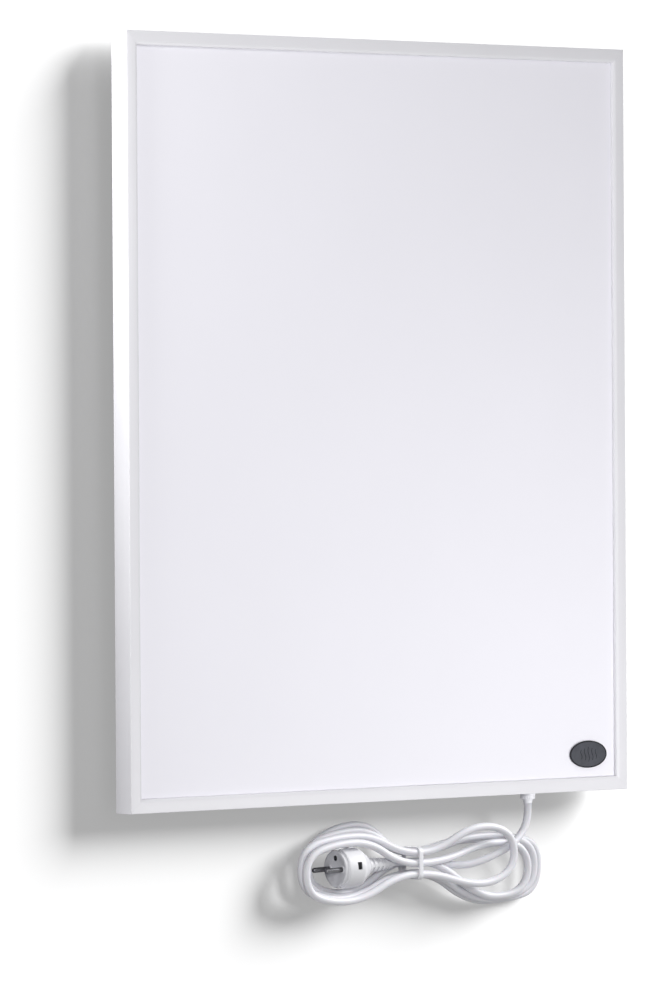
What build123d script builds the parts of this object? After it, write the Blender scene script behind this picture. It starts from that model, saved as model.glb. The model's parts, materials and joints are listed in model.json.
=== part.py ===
from build123d import *
import math
import os

# Infrared panel heater with its mains cord in a tied hank, hooked on two wall rails.
# Millimetres. +Z is up, the front looks towards -Y, and the wall is the plane Y = 0.
# The origin is the middle of the four wall holes, which is also the middle of the panel.
# "Depth" is measured from the panel's front face towards the wall.

# ---- Driving dimensions ----

# Panel
panel_width = 600.0
panel_height = 700.0
panel_depth = 22.0
wall_gap = 16.0

# Frame rails: an open extrusion with a front lip, a key slot and a rear flange
rail_wall = 1.4
lip_width = 13.0
recess = 3.5
key_slot = 2.4
rib_wall = 1.2
rib_reach = 6.0
flange_reach = 10.0

# Corner keys and their grub screws
key_leg = 46.0
key_play = 0.1
key_screw_diameter = 3.0
key_screw_length = 2.2
key_screw_from_corner = 32.0

# Sheets, from the front to the back
gasket_thickness = 0.7
gasket_width = 5.0
gasket_setback = 0.4
plate_thickness = 1.2
plate_edge = 7.0
mica_thickness = 0.6
mica_edge = 9.0
element_thickness = 0.4
element_edge = 16.0
foil_thickness = 0.3
board_edge = 11.0
cover_thickness = 0.8
cover_play = 0.4

# Heating element: rows of foil joined end to end, with a return strip at the right
element_rows = 10
element_slot = 4.0
element_turn = 26.0
element_return = 14.0

# Rear cover screws
cover_screw_diameter = 3.4
cover_screw_length = 6.5
cover_screw_head = 6.5
cover_screw_head_height = 2.0
cover_screw_from_corner = 50.0
cover_screws_up = 5
cover_screws_across = 4
hole_play = 0.1

# Cord and its gland
cord_diameter = 7.2
cord_play = 0.1
gland_from_right = 115.2
gland_depth = 12.5
gland_collar_diameter = 14.2
gland_collar_height = 2.2
gland_thread_diameter = 12.0
gland_thread_length = 8.0
gland_cap_diameter = 13.8
gland_cap_height = 3.4
locknut_flats = 14.0
locknut_thickness = 3.6
boot_top_diameter = 9.6
boot_end_diameter = 8.0
boot_below_cap = 3.9
boot_inside = 11.2

# Terminal tray, an earthed steel box behind the lower right of the plate
tray_width = 86.0
tray_height = 84.0
tray_wall = 0.8
tray_play = 0.8
tray_lift = 0.6
lid_inset = 8.0
lid_overlap = 7.0
lid_thickness = 0.8
lid_screw_inset = 4.0
lid_screw_diameter = 2.9
lid_screw_length = 4.0
lid_screw_head = 5.5
lid_screw_head_height = 1.6

# Terminal block
block_width = 34.0
block_height = 18.0
block_thickness = 11.4
block_above_tray_floor = 26.0
pole_pitch = 10.0
insert_diameter = 4.2
insert_bore = 3.0
insert_play = 0.05
pole_screw_diameter = 2.8

# Wires
wire_diameter = 2.6
core_spread = 1.7
sheath_above_tray_floor = 9.5
wire_bend = 3.0
wire_in_block = 5.0

# Thermal cut-out, its clip, the pads and the earth stud
cutout_width = 7.6
cutout_height = 20.0
cutout_thickness = 4.2
cutout_above_block = 6.0
clip_thickness = 0.6
clip_width = 6.0
clip_foot = 4.0
loop_above_cutout = 7.0
live_pad_offset = 14.0
live_pad_below_cutout_top = 12.0
neutral_pad_above_block = 11.0
stud_diameter = 4.0
stud_length = 9.0
stud_offset = 27.0
stud_above_block = 21.0
lug_diameter = 8.0
lug_thickness = 0.8
lug_barrel_diameter = 3.8
lug_barrel_length = 5.4
lug_neck = 4.6
nut_flats = 7.0
nut_thickness = 3.2

# Cord clamp in the tray
clamp_width = 28.0
clamp_height = 6.5
clamp_crown = 6.4
clamp_ear = 3.0
clamp_above_tray_floor = 1.4
clamp_screw_diameter = 3.0
clamp_screw_spread = 20.0
clamp_screw_head = 5.4
clamp_screw_head_height = 1.8

# Hooked rails: a pair on the wall and a pair on the heater's back
fixing_width = 360.0
rail_above_lid = 4.4
fixing_hole_diameter = 6.0
steel = 1.5
wall_rail_length = 440.0
hanger_length = 420.0
wall_rail_below = 15.0
wall_rail_above = 15.0
hook_lip = 12.0
hook_out = 8.0
hook_slot_play = 1.75
hook_tip_play = 2.0
hanger_below = 1.0
rivets_per_hanger = 5
rivet_pitch = 90.0
rivet_diameter = 4.0
rivet_head = 7.0
rivet_head_height = 1.2
rivet_tail = 5.6
rivet_tail_height = 1.6
rivet_rise = 8.0

# Rubber buffers between the heater and the wall
buffer_diameter = 16.0
buffer_from_side = 34.0
buffer_from_bottom = 36.0
buffer_to_wall = 0.3
buffer_stem_diameter = 5.0
buffer_stem_length = 3.0

# Badge: a plain oval
badge_width = 46.0
badge_height = 25.6
badge_from_right = 47.0
badge_from_bottom = 34.4
badge_pad_thickness = 0.5
badge_pad_inset = 1.5
badge_thickness = 1.6
badge_rim = 1.3
badge_rim_height = 0.35

# Free cord, from the boot to the hank, as steps from the boot's end: right, to the wall, up
free_cord_steps = [
    (0.0, 0.0, -11.8),
    (-3.1, -0.9, -23.7),
    (-9.6, -2.6, -34.5),
    (-19.3, -4.2, -43.4),
    (-33.3, -4.4, -50.5),
    (-51.8, -2.4, -55.3),
    (-74.8, 3.0, -56.7),
    (-97.8, 9.2, -53.3),
]

# Hank: loops that are nested from the rear to the front and drawn in at the tie
hank_loops = 4
hank_middle_x = 45.0
hank_middle_z = -409.5
hank_lead_in = 6.0
last_free_run = 15.0
layer_gap = 0.6
rear_layer_y = -6.0
waist_y = -21.5
waist_column = 8.0
waist_row = 10.0
# Layers of the right lobes, loop by loop. The free cord lies between layers 2 and 4
right_layers = [0, 1, 4, 2]
front_right_loop = 2
# Where the rear and the front left lobe pass, as (right, up)
left_bottom_rear, left_bottom_front = (-30.6, -430.7), (-38.5, -448.5)
left_end_rear, left_end_front = (-76.7, -404.7), (-95.5, -416.4)
left_top_rear, left_top_front = (-11.5, -367.9), (-29.0, -385.2)
# Where the right lobes pass: the rear one, the last one behind the free cord, the one before it
right_top_rear, right_top_last, right_top_front = (111.4, -386.9), (156.6, -399.0), (117.2, -378.5)
right_end_rear, right_end_last, right_end_front = (207.4, -416.6), (182.3, -422.2), (166.1, -403.9)
right_bottom_rear, right_bottom_last, right_bottom_front = (149.2, -459.3), (151.5, -446.8), (109.0, -428.0)

# Cable tie
tie_width = 4.8
tie_thickness = 1.2
tie_play = 0.3
tie_head_length = 6.0
tie_head_height = 4.5
tie_tail = 4.0

# Mains plug, moulded, with round pins and earth clips
plug_start = (19.6, -21.1, -408.4)
plug_turn = 2.0
plug_dip = 2.5
relief_length = 32.0
relief_start_diameter = 9.4
relief_end_diameter = 16.0
relief_ribs = 6
relief_rib_depth = 1.0
plug_diameter = 37.5
plug_back_diameter = 22.0
plug_taper = 11.0
plug_grip = 20.0
face_diameter = 33.8
face_thickness = 3.0
pin_diameter = 4.8
pin_length = 19.0
pin_pitch = 19.0
pin_in_face = 2.0
earth_hole_diameter = 5.4
earth_hole_depth = 2.4
earth_hole_offset = 10.0
earth_clip_width = 6.0
earth_clip_thickness = 0.8
earth_clip_length = 15.0
earth_clip_stand = 1.0

os.makedirs("parts", exist_ok=True)

# ---- Places worked out from the sizes ----

half_width = panel_width / 2
half_height = panel_height / 2
front_y = -(wall_gap + panel_depth)
back_y = -wall_gap
cover_depth = panel_depth - cover_thickness
flange_depth = cover_depth - rail_wall

gasket_depth = recess
plate_depth = gasket_depth + gasket_thickness
mica_depth = plate_depth + plate_thickness
element_depth = mica_depth + mica_thickness
rear_mica_depth = element_depth + element_thickness
foil_depth = rear_mica_depth + mica_thickness
board_depth = foil_depth + foil_thickness
board_thickness = cover_depth - board_depth

gland_x = half_width - gland_from_right
gland_y = front_y + gland_depth
cap_bottom_z = -half_height - gland_collar_height - gland_cap_height
boot_end_z = cap_bottom_z - boot_below_cap

tray_bottom = -half_height + board_edge + tray_lift
tray_floor = tray_bottom + tray_wall
tray_middle_z = tray_bottom + tray_height / 2
tray_inner_depth = board_depth + tray_wall
block_bottom = tray_floor + block_above_tray_floor
block_top = block_bottom + block_height
sheath_end = tray_floor + sheath_above_tray_floor
cutout_bottom = block_top + cutout_above_block
cutout_top = cutout_bottom + cutout_height
cutout_depth = tray_inner_depth + cutout_thickness / 2
live_x = gland_x - pole_pitch
neutral_x = gland_x + pole_pitch
live_pad = (live_x - live_pad_offset, cutout_top - live_pad_below_cutout_top)
neutral_pad = (neutral_x, block_top + neutral_pad_above_block)
stud_place = (gland_x + stud_offset, block_top + stud_above_block)
lug_depth = tray_inner_depth + lug_barrel_diameter / 2

lid_opening_width = tray_width - 2 * lid_inset
lid_opening_height = tray_height - 2 * lid_inset
lid_top = tray_middle_z + lid_opening_height / 2 + lid_overlap
lower_rail_z = lid_top + rail_above_lid + hanger_below
rail_heights = (lower_rail_z, -lower_rail_z)

hook_tip_z = wall_rail_above + hook_tip_play
hook_top_z = wall_rail_above + hook_lip
hanger_hook_y = -steel - hook_slot_play
lift_off = hook_top_z - hook_tip_z + hook_tip_play

layer_pitch = cord_diameter + layer_gap

LEFT = Vector(-1, 0, 0)
RIGHT = Vector(1, 0, 0)
UP = Vector(0, 0, 1)
DOWN = Vector(0, 0, -1)
BACK = Vector(0, 1, 0)


def at_depth(depth):
    """A plane seen from the front. A minus extrusion from it goes towards the wall."""
    return Plane.XZ.offset(-front_y - depth)


def y_at(depth):
    return front_y + depth


def save(part, name):
    """Label a finished piece and write its file."""
    part.label = name
    export_step(part, f"parts/{name}.step")


def cover_screw_places():
    """Places of the rear cover's screws, round the flange."""
    inset = (rail_wall + flange_reach) / 2
    row_step = (panel_height - 2 * cover_screw_from_corner) / (cover_screws_up - 1)
    column_step = panel_width / cover_screws_across
    places = []
    for side in (-1, 1):
        for row in range(cover_screws_up):
            z = row * row_step - half_height + cover_screw_from_corner
            places.append((side * (half_width - inset), z))
        for column in range(cover_screws_across):
            x = (column + 0.5) * column_step - half_width
            places.append((x, side * (half_height - inset)))
    return places


def key_screw_places():
    """Places of the grub screws that hold the corner keys."""
    inset = (rail_wall + rib_reach) / 2
    places = []
    for side in (-1, 1):
        for end in (-1, 1):
            places.append((side * (half_width - inset), end * (half_height - key_screw_from_corner)))
            places.append((side * (half_width - key_screw_from_corner), end * (half_height - inset)))
    return places


def sheet(edge, depth, thickness):
    """A flat sheet that stands back from the panel's outer edges."""
    with BuildPart() as made:
        with BuildSketch(at_depth(depth)):
            Rectangle(panel_width - 2 * edge, panel_height - 2 * edge)
        extrude(amount=-thickness)
    return made.part


def wire(points, bends):
    """An insulated wire along straight runs that are joined by arcs."""
    with BuildPart() as made:
        with BuildLine() as route:
            FilletPolyline(*points, radius=bends)
        with BuildSketch(Plane(origin=route.line @ 0, z_dir=route.line % 0)):
            Circle(wire_diameter / 2)
        sweep(path=route.line)
    return made.part


def screws(plane, places, head, head_height, shank, length):
    """Pan head screws on one plane, with their heads on its upper side."""
    with BuildPart() as made:
        with BuildSketch(plane):
            with Locations(*places):
                Circle(head / 2)
        extrude(amount=head_height)
        with BuildSketch(plane):
            with Locations(*places):
                Circle(shank / 2)
        extrude(amount=-length)
    return made.part


# ---- Frame rails ----


def rail(middle, inward, along, length):
    """One mitred rail. middle is the middle of its outer front edge."""
    rib_depth = rail_wall + key_slot
    with BuildPart() as made:
        with BuildSketch(Plane(origin=middle, x_dir=inward, z_dir=along)):
            with BuildLine():
                Polyline(
                    (0, 0),
                    (lip_width, 0),
                    (lip_width, recess),
                    (lip_width - rail_wall, recess),
                    (lip_width - rail_wall, rail_wall),
                    (rail_wall, rail_wall),
                    (rail_wall, rib_depth),
                    (rib_reach, rib_depth),
                    (rib_reach, rib_depth + rib_wall),
                    (rail_wall, rib_depth + rib_wall),
                    (rail_wall, flange_depth),
                    (flange_reach, flange_depth),
                    (flange_reach, cover_depth),
                    (rail_wall, cover_depth),
                    (rail_wall, panel_depth),
                    (0, panel_depth),
                    close=True,
                )
            make_face()
        extrude(amount=length / 2, both=True)
        for end in (-1, 1):
            tip = middle + along * (end * length / 2)
            split(bisect_by=Plane(origin=tip, z_dir=inward + along * end), keep=Keep.BOTTOM)
        with BuildSketch(at_depth(flange_depth)):
            with Locations(*cover_screw_places()):
                Circle(cover_screw_diameter / 2 + hole_play)
        extrude(amount=-rail_wall, mode=Mode.SUBTRACT)
        with BuildSketch(at_depth(rib_depth)):
            with Locations(*key_screw_places()):
                Circle(key_screw_diameter / 2 + hole_play)
        extrude(amount=-rib_wall, mode=Mode.SUBTRACT)
    return made.part


with BuildPart() as frame_bottom:
    add(rail(Vector(0, front_y, -half_height), UP, LEFT, panel_width))
    with BuildSketch(Plane(origin=(gland_x, gland_y, -half_height), z_dir=UP)):
        Circle(gland_thread_diameter / 2 + hole_play)
    extrude(amount=rail_wall, mode=Mode.SUBTRACT)

save(frame_bottom.part, "frame_bottom")
save(rail(Vector(0, front_y, half_height), DOWN, RIGHT, panel_width), "frame_top")
save(rail(Vector(-half_width, front_y, 0), RIGHT, UP, panel_height), "frame_left")
save(rail(Vector(half_width, front_y, 0), LEFT, DOWN, panel_height), "frame_right")

# Corner keys lie in the slot behind the lip
key_edge = rail_wall + key_play
key_inner_edge = rib_reach - key_play
key_thickness = key_slot - 2 * key_play
with BuildPart() as corner_keys:
    with BuildSketch(at_depth(rail_wall + key_play)):
        Rectangle(panel_width - 2 * key_edge, panel_height - 2 * key_edge)
        Rectangle(panel_width - 2 * key_inner_edge, panel_height - 2 * key_inner_edge, mode=Mode.SUBTRACT)
        with GridLocations(panel_width - key_leg, panel_height - key_leg, 2, 2):
            Rectangle(key_leg, key_leg, mode=Mode.INTERSECT)
    extrude(amount=-key_thickness)
save(corner_keys.part, "corner_keys")

with BuildPart() as corner_key_screws:
    with BuildSketch(at_depth(rail_wall + key_play + key_thickness)):
        with Locations(*key_screw_places()):
            Circle(key_screw_diameter / 2)
    extrude(amount=-key_screw_length)
save(corner_key_screws.part, "corner_key_screws")

# ---- Sheets ----

with BuildPart() as plate_gasket:
    with BuildSketch(at_depth(gasket_depth)):
        inner = lip_width - gasket_setback
        outer = inner - gasket_width
        Rectangle(panel_width - 2 * outer, panel_height - 2 * outer)
        Rectangle(panel_width - 2 * inner, panel_height - 2 * inner, mode=Mode.SUBTRACT)
    extrude(amount=-gasket_thickness)
save(plate_gasket.part, "plate_gasket")

save(sheet(plate_edge, plate_depth, plate_thickness), "front_plate")
save(sheet(mica_edge, mica_depth, mica_thickness), "mica_front")

# The foil's current path starts and ends at the slot above the gland
element_width = panel_width - 2 * element_edge
element_height = panel_height - 2 * element_edge
row_height = element_height / element_rows
with BuildPart() as heating_element:
    with BuildSketch(at_depth(element_depth)):
        Rectangle(element_width, element_height)
        row_length = element_width - element_return - element_slot
        for row in range(1, element_rows):
            z = row * row_height - element_height / 2
            left = -element_width / 2 + (element_turn if row % 2 else 0)
            right = left + row_length - element_turn + (element_slot if row % 2 else 0)
            with Locations(((left + right) / 2, z)):
                Rectangle(right - left, element_slot, mode=Mode.SUBTRACT)
        strip_x = element_width / 2 - element_return - element_slot / 2
        with Locations((strip_x, 0)):
            Rectangle(element_slot, element_height - 2 * row_height + element_slot, mode=Mode.SUBTRACT)
        with Locations((gland_x, (row_height - element_height) / 2)):
            Rectangle(element_slot, row_height, mode=Mode.SUBTRACT)
    extrude(amount=-element_thickness)
save(heating_element.part, "heating_element")


def holed_sheet(edge, depth, thickness):
    """A sheet behind the element, with the two lead holes."""
    with BuildPart() as made:
        add(sheet(edge, depth, thickness))
        with BuildSketch(at_depth(depth)):
            with Locations(live_pad, neutral_pad):
                Circle(wire_diameter / 2 + tray_play)
        extrude(amount=-thickness, mode=Mode.SUBTRACT)
    return made.part


save(holed_sheet(mica_edge, rear_mica_depth, mica_thickness), "mica_rear")
save(holed_sheet(board_edge, foil_depth, foil_thickness), "reflector_foil")


def rivet_places(height):
    """Places of one hanger rail's rivets."""
    first = -(rivets_per_hanger - 1) / 2
    return [((first + i) * rivet_pitch, height + rivet_rise) for i in range(rivets_per_hanger)]


all_rivets = [place for height in rail_heights for place in rivet_places(height)]
buffer_places = [
    (side * (half_width - buffer_from_side), -half_height + buffer_from_bottom) for side in (-1, 1)
]

with BuildPart() as insulation_board:
    add(sheet(board_edge, board_depth, board_thickness))
    with BuildSketch(at_depth(board_depth)):
        cut_bottom = -half_height
        cut_top = tray_bottom + tray_height + tray_play
        with Locations((gland_x, (cut_bottom + cut_top) / 2)):
            Rectangle(tray_width + 2 * tray_play, cut_top - cut_bottom)
    extrude(amount=-board_thickness, mode=Mode.SUBTRACT)
    with BuildSketch(at_depth(cover_depth)):
        with Locations(*all_rivets):
            Circle(rivet_tail / 2 + hole_play)
    extrude(amount=rivet_tail_height + hole_play, mode=Mode.SUBTRACT)
    with BuildSketch(at_depth(cover_depth)):
        with Locations(*buffer_places):
            Circle(buffer_stem_diameter / 2 + hole_play)
    extrude(amount=buffer_stem_length, mode=Mode.SUBTRACT)
save(insulation_board.part, "insulation_board")

# ---- Rear cover ----

lid_screw_places = [
    (
        gland_x + side * (lid_opening_width / 2 + lid_screw_inset),
        tray_middle_z + end * (lid_opening_height / 2 + lid_screw_inset),
    )
    for side in (-1, 1)
    for end in (-1, 1)
]

with BuildPart() as rear_cover:
    add(sheet(rail_wall + cover_play, cover_depth, cover_thickness))
    with BuildSketch(at_depth(cover_depth)):
        with Locations(*cover_screw_places()):
            Circle(cover_screw_diameter / 2 + hole_play)
        with Locations((gland_x, tray_middle_z)):
            Rectangle(lid_opening_width, lid_opening_height)
        with Locations(*lid_screw_places):
            Circle(lid_screw_diameter / 2 + hole_play)
        with Locations(*all_rivets):
            Circle(rivet_diameter / 2 + hole_play)
        with Locations(*buffer_places):
            Circle(buffer_stem_diameter / 2 + hole_play)
    extrude(amount=-cover_thickness, mode=Mode.SUBTRACT)
save(rear_cover.part, "rear_cover")

back_plane = Plane(origin=(0, back_y, 0), x_dir=RIGHT, z_dir=BACK)


def from_back(places):
    """The same places on a plane that is seen from the back, where up is down."""
    return [(x, -z) for x, z in places]


save(
    screws(
        back_plane,
        from_back(cover_screw_places()),
        cover_screw_head,
        cover_screw_head_height,
        cover_screw_diameter,
        cover_screw_length,
    ),
    "rear_cover_screws",
)

# ---- Terminal tray and lid ----

with BuildPart() as terminal_tray:
    with BuildSketch(at_depth(board_depth)):
        with Locations((gland_x, tray_middle_z)):
            Rectangle(tray_width, tray_height)
    extrude(amount=-board_thickness)
    with BuildSketch(at_depth(tray_inner_depth)):
        with Locations((gland_x, tray_middle_z)):
            Rectangle(tray_width - 2 * tray_wall, tray_height - 2 * tray_wall)
    extrude(amount=-(board_thickness - tray_wall), mode=Mode.SUBTRACT)
    with BuildSketch(Plane(origin=(gland_x, gland_y, tray_bottom), z_dir=UP)):
        Circle(cord_diameter / 2 + tray_play)
    extrude(amount=tray_wall, mode=Mode.SUBTRACT)
    clamp_z = tray_floor + clamp_above_tray_floor + clamp_height / 2
    clamp_screw_places = [(gland_x + side * clamp_screw_spread / 2, clamp_z) for side in (-1, 1)]
    with BuildSketch(at_depth(board_depth)):
        with Locations(live_pad, neutral_pad):
            Circle(wire_diameter / 2 + tray_play)
        with Locations(*clamp_screw_places):
            Circle(clamp_screw_diameter / 2 + hole_play)
    extrude(amount=-tray_wall, mode=Mode.SUBTRACT)
save(terminal_tray.part, "terminal_tray")

with BuildPart() as terminal_lid:
    with BuildSketch(back_plane):
        with Locations(*from_back([(gland_x, tray_middle_z)])):
            RectangleRounded(
                lid_opening_width + 2 * lid_overlap,
                lid_opening_height + 2 * lid_overlap,
                lid_screw_inset / 2,
            )
        with Locations(*from_back(lid_screw_places)):
            Circle(lid_screw_diameter / 2 + hole_play, mode=Mode.SUBTRACT)
    extrude(amount=lid_thickness)
save(terminal_lid.part, "terminal_lid")

save(
    screws(
        back_plane.offset(lid_thickness),
        from_back(lid_screw_places),
        lid_screw_head,
        lid_screw_head_height,
        lid_screw_diameter,
        lid_screw_length,
    ),
    "terminal_lid_screws",
)

# ---- Terminal block ----

poles = (live_x, gland_x, neutral_x)
block_middle_z = (block_bottom + block_top) / 2
block_back_depth = tray_inner_depth + block_thickness
pole_screw_places = [
    (x, block_middle_z + side * block_height / 4) for x in poles for side in (-1, 1)
]

with BuildPart() as terminal_block:
    with BuildSketch(at_depth(tray_inner_depth)):
        with Locations((gland_x, block_middle_z)):
            RectangleRounded(block_width, block_height, block_height / 12)
    extrude(amount=-block_thickness)
    for x in poles:
        with BuildSketch(Plane(origin=(x, gland_y, block_bottom), z_dir=UP)):
            Circle(insert_diameter / 2 + insert_play)
        extrude(amount=block_height, mode=Mode.SUBTRACT)
    with BuildSketch(at_depth(block_back_depth)):
        with Locations(*pole_screw_places):
            Circle(pole_screw_diameter / 2 + hole_play)
    extrude(amount=block_back_depth - gland_depth, mode=Mode.SUBTRACT)
save(terminal_block.part, "terminal_block")

with BuildPart() as terminal_inserts:
    for x in poles:
        with BuildSketch(Plane(origin=(x, gland_y, block_bottom), z_dir=UP)):
            Circle(insert_diameter / 2)
            Circle(insert_bore / 2, mode=Mode.SUBTRACT)
        extrude(amount=block_height)
    with BuildSketch(at_depth(block_back_depth)):
        with Locations(*pole_screw_places):
            Circle(pole_screw_diameter / 2 + hole_play)
    extrude(amount=block_back_depth - gland_depth, mode=Mode.SUBTRACT)
save(terminal_inserts.part, "terminal_inserts")

wire_back_depth = gland_depth + wire_diameter / 2
with BuildPart() as terminal_screws:
    with BuildSketch(at_depth(wire_back_depth + insert_play)):
        with Locations(*pole_screw_places):
            Circle(pole_screw_diameter / 2)
    extrude(amount=-(block_back_depth - wire_back_depth - insert_play))
save(terminal_screws.part, "terminal_screws")

# ---- Wires inside the tray ----

cord_core_y = gland_y - core_spread / 3
earth_core_y = gland_y + core_spread
core_straight = 2.4
block_approach = 4.0

for name, core_x, core_y, pole_x in (
    ("wire_live", gland_x - core_spread, cord_core_y, live_x),
    ("wire_neutral", gland_x + core_spread, cord_core_y, neutral_x),
    ("wire_earth", gland_x, earth_core_y, gland_x),
):
    core = wire(
        [
            (core_x, core_y, sheath_end),
            (core_x, core_y, sheath_end + core_straight),
            (pole_x, gland_y, block_bottom - block_approach),
            (pole_x, gland_y, block_bottom + wire_in_block),
        ],
        wire_bend,
    )
    save(core, name)

cutout_lead = wire(
    [
        (live_x, gland_y, block_top - wire_in_block),
        (live_x, gland_y, block_top + cutout_above_block / 4),
        (live_x, y_at(cutout_depth), cutout_bottom - cutout_above_block / 4),
        (live_x, y_at(cutout_depth), cutout_bottom),
    ],
    wire_bend,
)
save(cutout_lead, "cutout_lead")

element_back_y = y_at(element_depth + element_thickness)
loop_z = cutout_top + loop_above_cutout
element_lead_live = wire(
    [
        (live_x, y_at(cutout_depth), cutout_top),
        (live_x, y_at(cutout_depth), loop_z),
        (live_pad[0], y_at(cutout_depth), loop_z),
        (live_pad[0], y_at(cutout_depth), live_pad[1]),
        (live_pad[0], element_back_y, live_pad[1]),
    ],
    wire_bend,
)
save(element_lead_live, "element_lead_live")

element_lead_neutral = wire(
    [
        (neutral_x, gland_y, block_top - wire_in_block),
        (neutral_x, gland_y, neutral_pad[1]),
        (neutral_x, element_back_y, neutral_pad[1]),
    ],
    wire_bend,
)
save(element_lead_neutral, "element_lead_neutral")

lug_barrel_start = stud_place[0] - lug_neck - lug_barrel_length
earth_bond = wire(
    [
        (gland_x, gland_y, block_top - wire_in_block),
        (gland_x, gland_y, block_top + stud_above_block / 3),
        (gland_x, y_at(lug_depth), stud_place[1]),
        (lug_barrel_start, y_at(lug_depth), stud_place[1]),
    ],
    wire_bend,
)
save(earth_bond, "earth_bond")

with BuildPart() as earth_lug:
    with BuildSketch(at_depth(tray_inner_depth)):
        lug_reach = stud_place[0] - lug_barrel_start
        with Locations((stud_place[0] - lug_reach / 2, stud_place[1])):
            Rectangle(lug_reach, lug_barrel_diameter)
        with Locations(stud_place):
            Circle(lug_diameter / 2)
            Circle(stud_diameter / 2 + hole_play, mode=Mode.SUBTRACT)
    extrude(amount=-lug_thickness)
    barrel_end = Plane(origin=(lug_barrel_start, y_at(lug_depth), stud_place[1]), z_dir=RIGHT)
    with BuildSketch(barrel_end):
        Circle(lug_barrel_diameter / 2)
    extrude(amount=lug_barrel_length)
save(earth_lug.part, "earth_lug")

with BuildPart() as earth_stud:
    with BuildSketch(at_depth(tray_inner_depth)):
        with Locations(stud_place):
            Circle(stud_diameter / 2)
    extrude(amount=-stud_length)
save(earth_stud.part, "earth_stud")

with BuildPart() as earth_nut:
    with BuildSketch(at_depth(tray_inner_depth + lug_thickness)):
        with Locations(stud_place):
            RegularPolygon(nut_flats / 2, 6, major_radius=False)
            Circle(stud_diameter / 2 + hole_play, mode=Mode.SUBTRACT)
    extrude(amount=-nut_thickness)
save(earth_nut.part, "earth_nut")

# ---- Thermal cut-out and its clip ----

cutout_middle_z = (cutout_bottom + cutout_top) / 2
with BuildPart() as thermal_cutout:
    with BuildSketch(at_depth(tray_inner_depth)):
        with Locations((live_x, cutout_middle_z)):
            RectangleRounded(cutout_width, cutout_height, cutout_width / 5)
    extrude(amount=-cutout_thickness)
save(thermal_cutout.part, "thermal_cutout")

with BuildPart() as cutout_clip:
    clip_plane = Plane(
        origin=(live_x, y_at(tray_inner_depth), cutout_middle_z - clip_width / 2),
        x_dir=RIGHT,
        z_dir=UP,
    )
    inside = cutout_width / 2 + key_play
    outside = inside + clip_thickness
    with BuildSketch(clip_plane):
        with BuildLine():
            Polyline(
                (-outside - clip_foot, 0),
                (-inside, 0),
                (-inside, cutout_thickness + key_play),
                (inside, cutout_thickness + key_play),
                (inside, 0),
                (outside + clip_foot, 0),
                (outside + clip_foot, clip_thickness),
                (outside, clip_thickness),
                (outside, cutout_thickness + key_play + clip_thickness),
                (-outside, cutout_thickness + key_play + clip_thickness),
                (-outside, clip_thickness),
                (-outside - clip_foot, clip_thickness),
                close=True,
            )
        make_face()
    extrude(amount=clip_width)
save(cutout_clip.part, "cutout_clip")

# ---- Cord clamp ----

with BuildPart() as cord_clamp:
    clamp_plane = Plane(
        origin=(gland_x, y_at(tray_inner_depth), clamp_z - clamp_height / 2),
        x_dir=RIGHT,
        z_dir=UP,
    )
    cord_rise = gland_depth - tray_inner_depth
    groove = cord_diameter / 2 + cord_play
    crown_rise = cord_rise + clamp_crown
    with BuildSketch(clamp_plane):
        with Locations((0, crown_rise / 2)):
            Rectangle(2 * clamp_crown, crown_rise)
        with Locations((0, clamp_ear / 2)):
            Rectangle(clamp_width, clamp_ear)
        with Locations((0, cord_rise)):
            Circle(groove, mode=Mode.SUBTRACT)
        with Locations((0, cord_rise / 2)):
            Rectangle(2 * groove, cord_rise, mode=Mode.SUBTRACT)
    extrude(amount=clamp_height)
    with BuildSketch(at_depth(tray_inner_depth)):
        with Locations(*clamp_screw_places):
            Circle(clamp_screw_diameter / 2 + hole_play)
    extrude(amount=-clamp_ear, mode=Mode.SUBTRACT)
save(cord_clamp.part, "cord_clamp")

ear_plane = Plane(origin=(0, y_at(tray_inner_depth + clamp_ear), 0), x_dir=RIGHT, z_dir=BACK)
save(
    screws(
        ear_plane,
        from_back(clamp_screw_places),
        clamp_screw_head,
        clamp_screw_head_height,
        clamp_screw_diameter,
        clamp_ear + tray_wall,
    ),
    "cord_clamp_screws",
)

# ---- Gland, boot and the cord's tail inside the housing ----

boot_bore = cord_diameter / 2 + cord_play
boot_top_z = boot_end_z + boot_below_cap + gland_cap_height + gland_collar_height + boot_inside
under_rail = Plane(origin=(gland_x, gland_y, -half_height), z_dir=DOWN)

with BuildPart() as gland_body:
    with BuildSketch(under_rail):
        Circle(gland_collar_diameter / 2)
    extrude(amount=gland_collar_height)
    fillet(gland_body.faces().sort_by(Axis.Z)[0].edges(), gland_collar_height / 4)
    with BuildSketch(under_rail):
        Circle(gland_thread_diameter / 2)
    extrude(amount=-gland_thread_length)
    with BuildSketch(under_rail.offset(gland_collar_height)):
        Circle(boot_top_diameter / 2 + cord_play)
    extrude(amount=-(gland_collar_height + gland_thread_length), mode=Mode.SUBTRACT)
save(gland_body.part, "gland_body")

with BuildPart() as gland_cap:
    with BuildSketch(under_rail.offset(gland_collar_height)):
        Circle(gland_cap_diameter / 2)
    extrude(amount=gland_cap_height)
    fillet(gland_cap.faces().sort_by(Axis.Z)[0].edges(), gland_cap_height / 4)
    with BuildSketch(under_rail.offset(gland_collar_height)):
        Circle(boot_top_diameter / 2 + cord_play)
    extrude(amount=gland_cap_height, mode=Mode.SUBTRACT)
save(gland_cap.part, "gland_cap")

with BuildPart() as gland_locknut:
    with BuildSketch(under_rail.offset(-rail_wall)):
        RegularPolygon(locknut_flats / 2, 6, major_radius=False)
        Circle(gland_thread_diameter / 2 + hole_play, mode=Mode.SUBTRACT)
    extrude(amount=-locknut_thickness)
save(gland_locknut.part, "gland_locknut")

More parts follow.
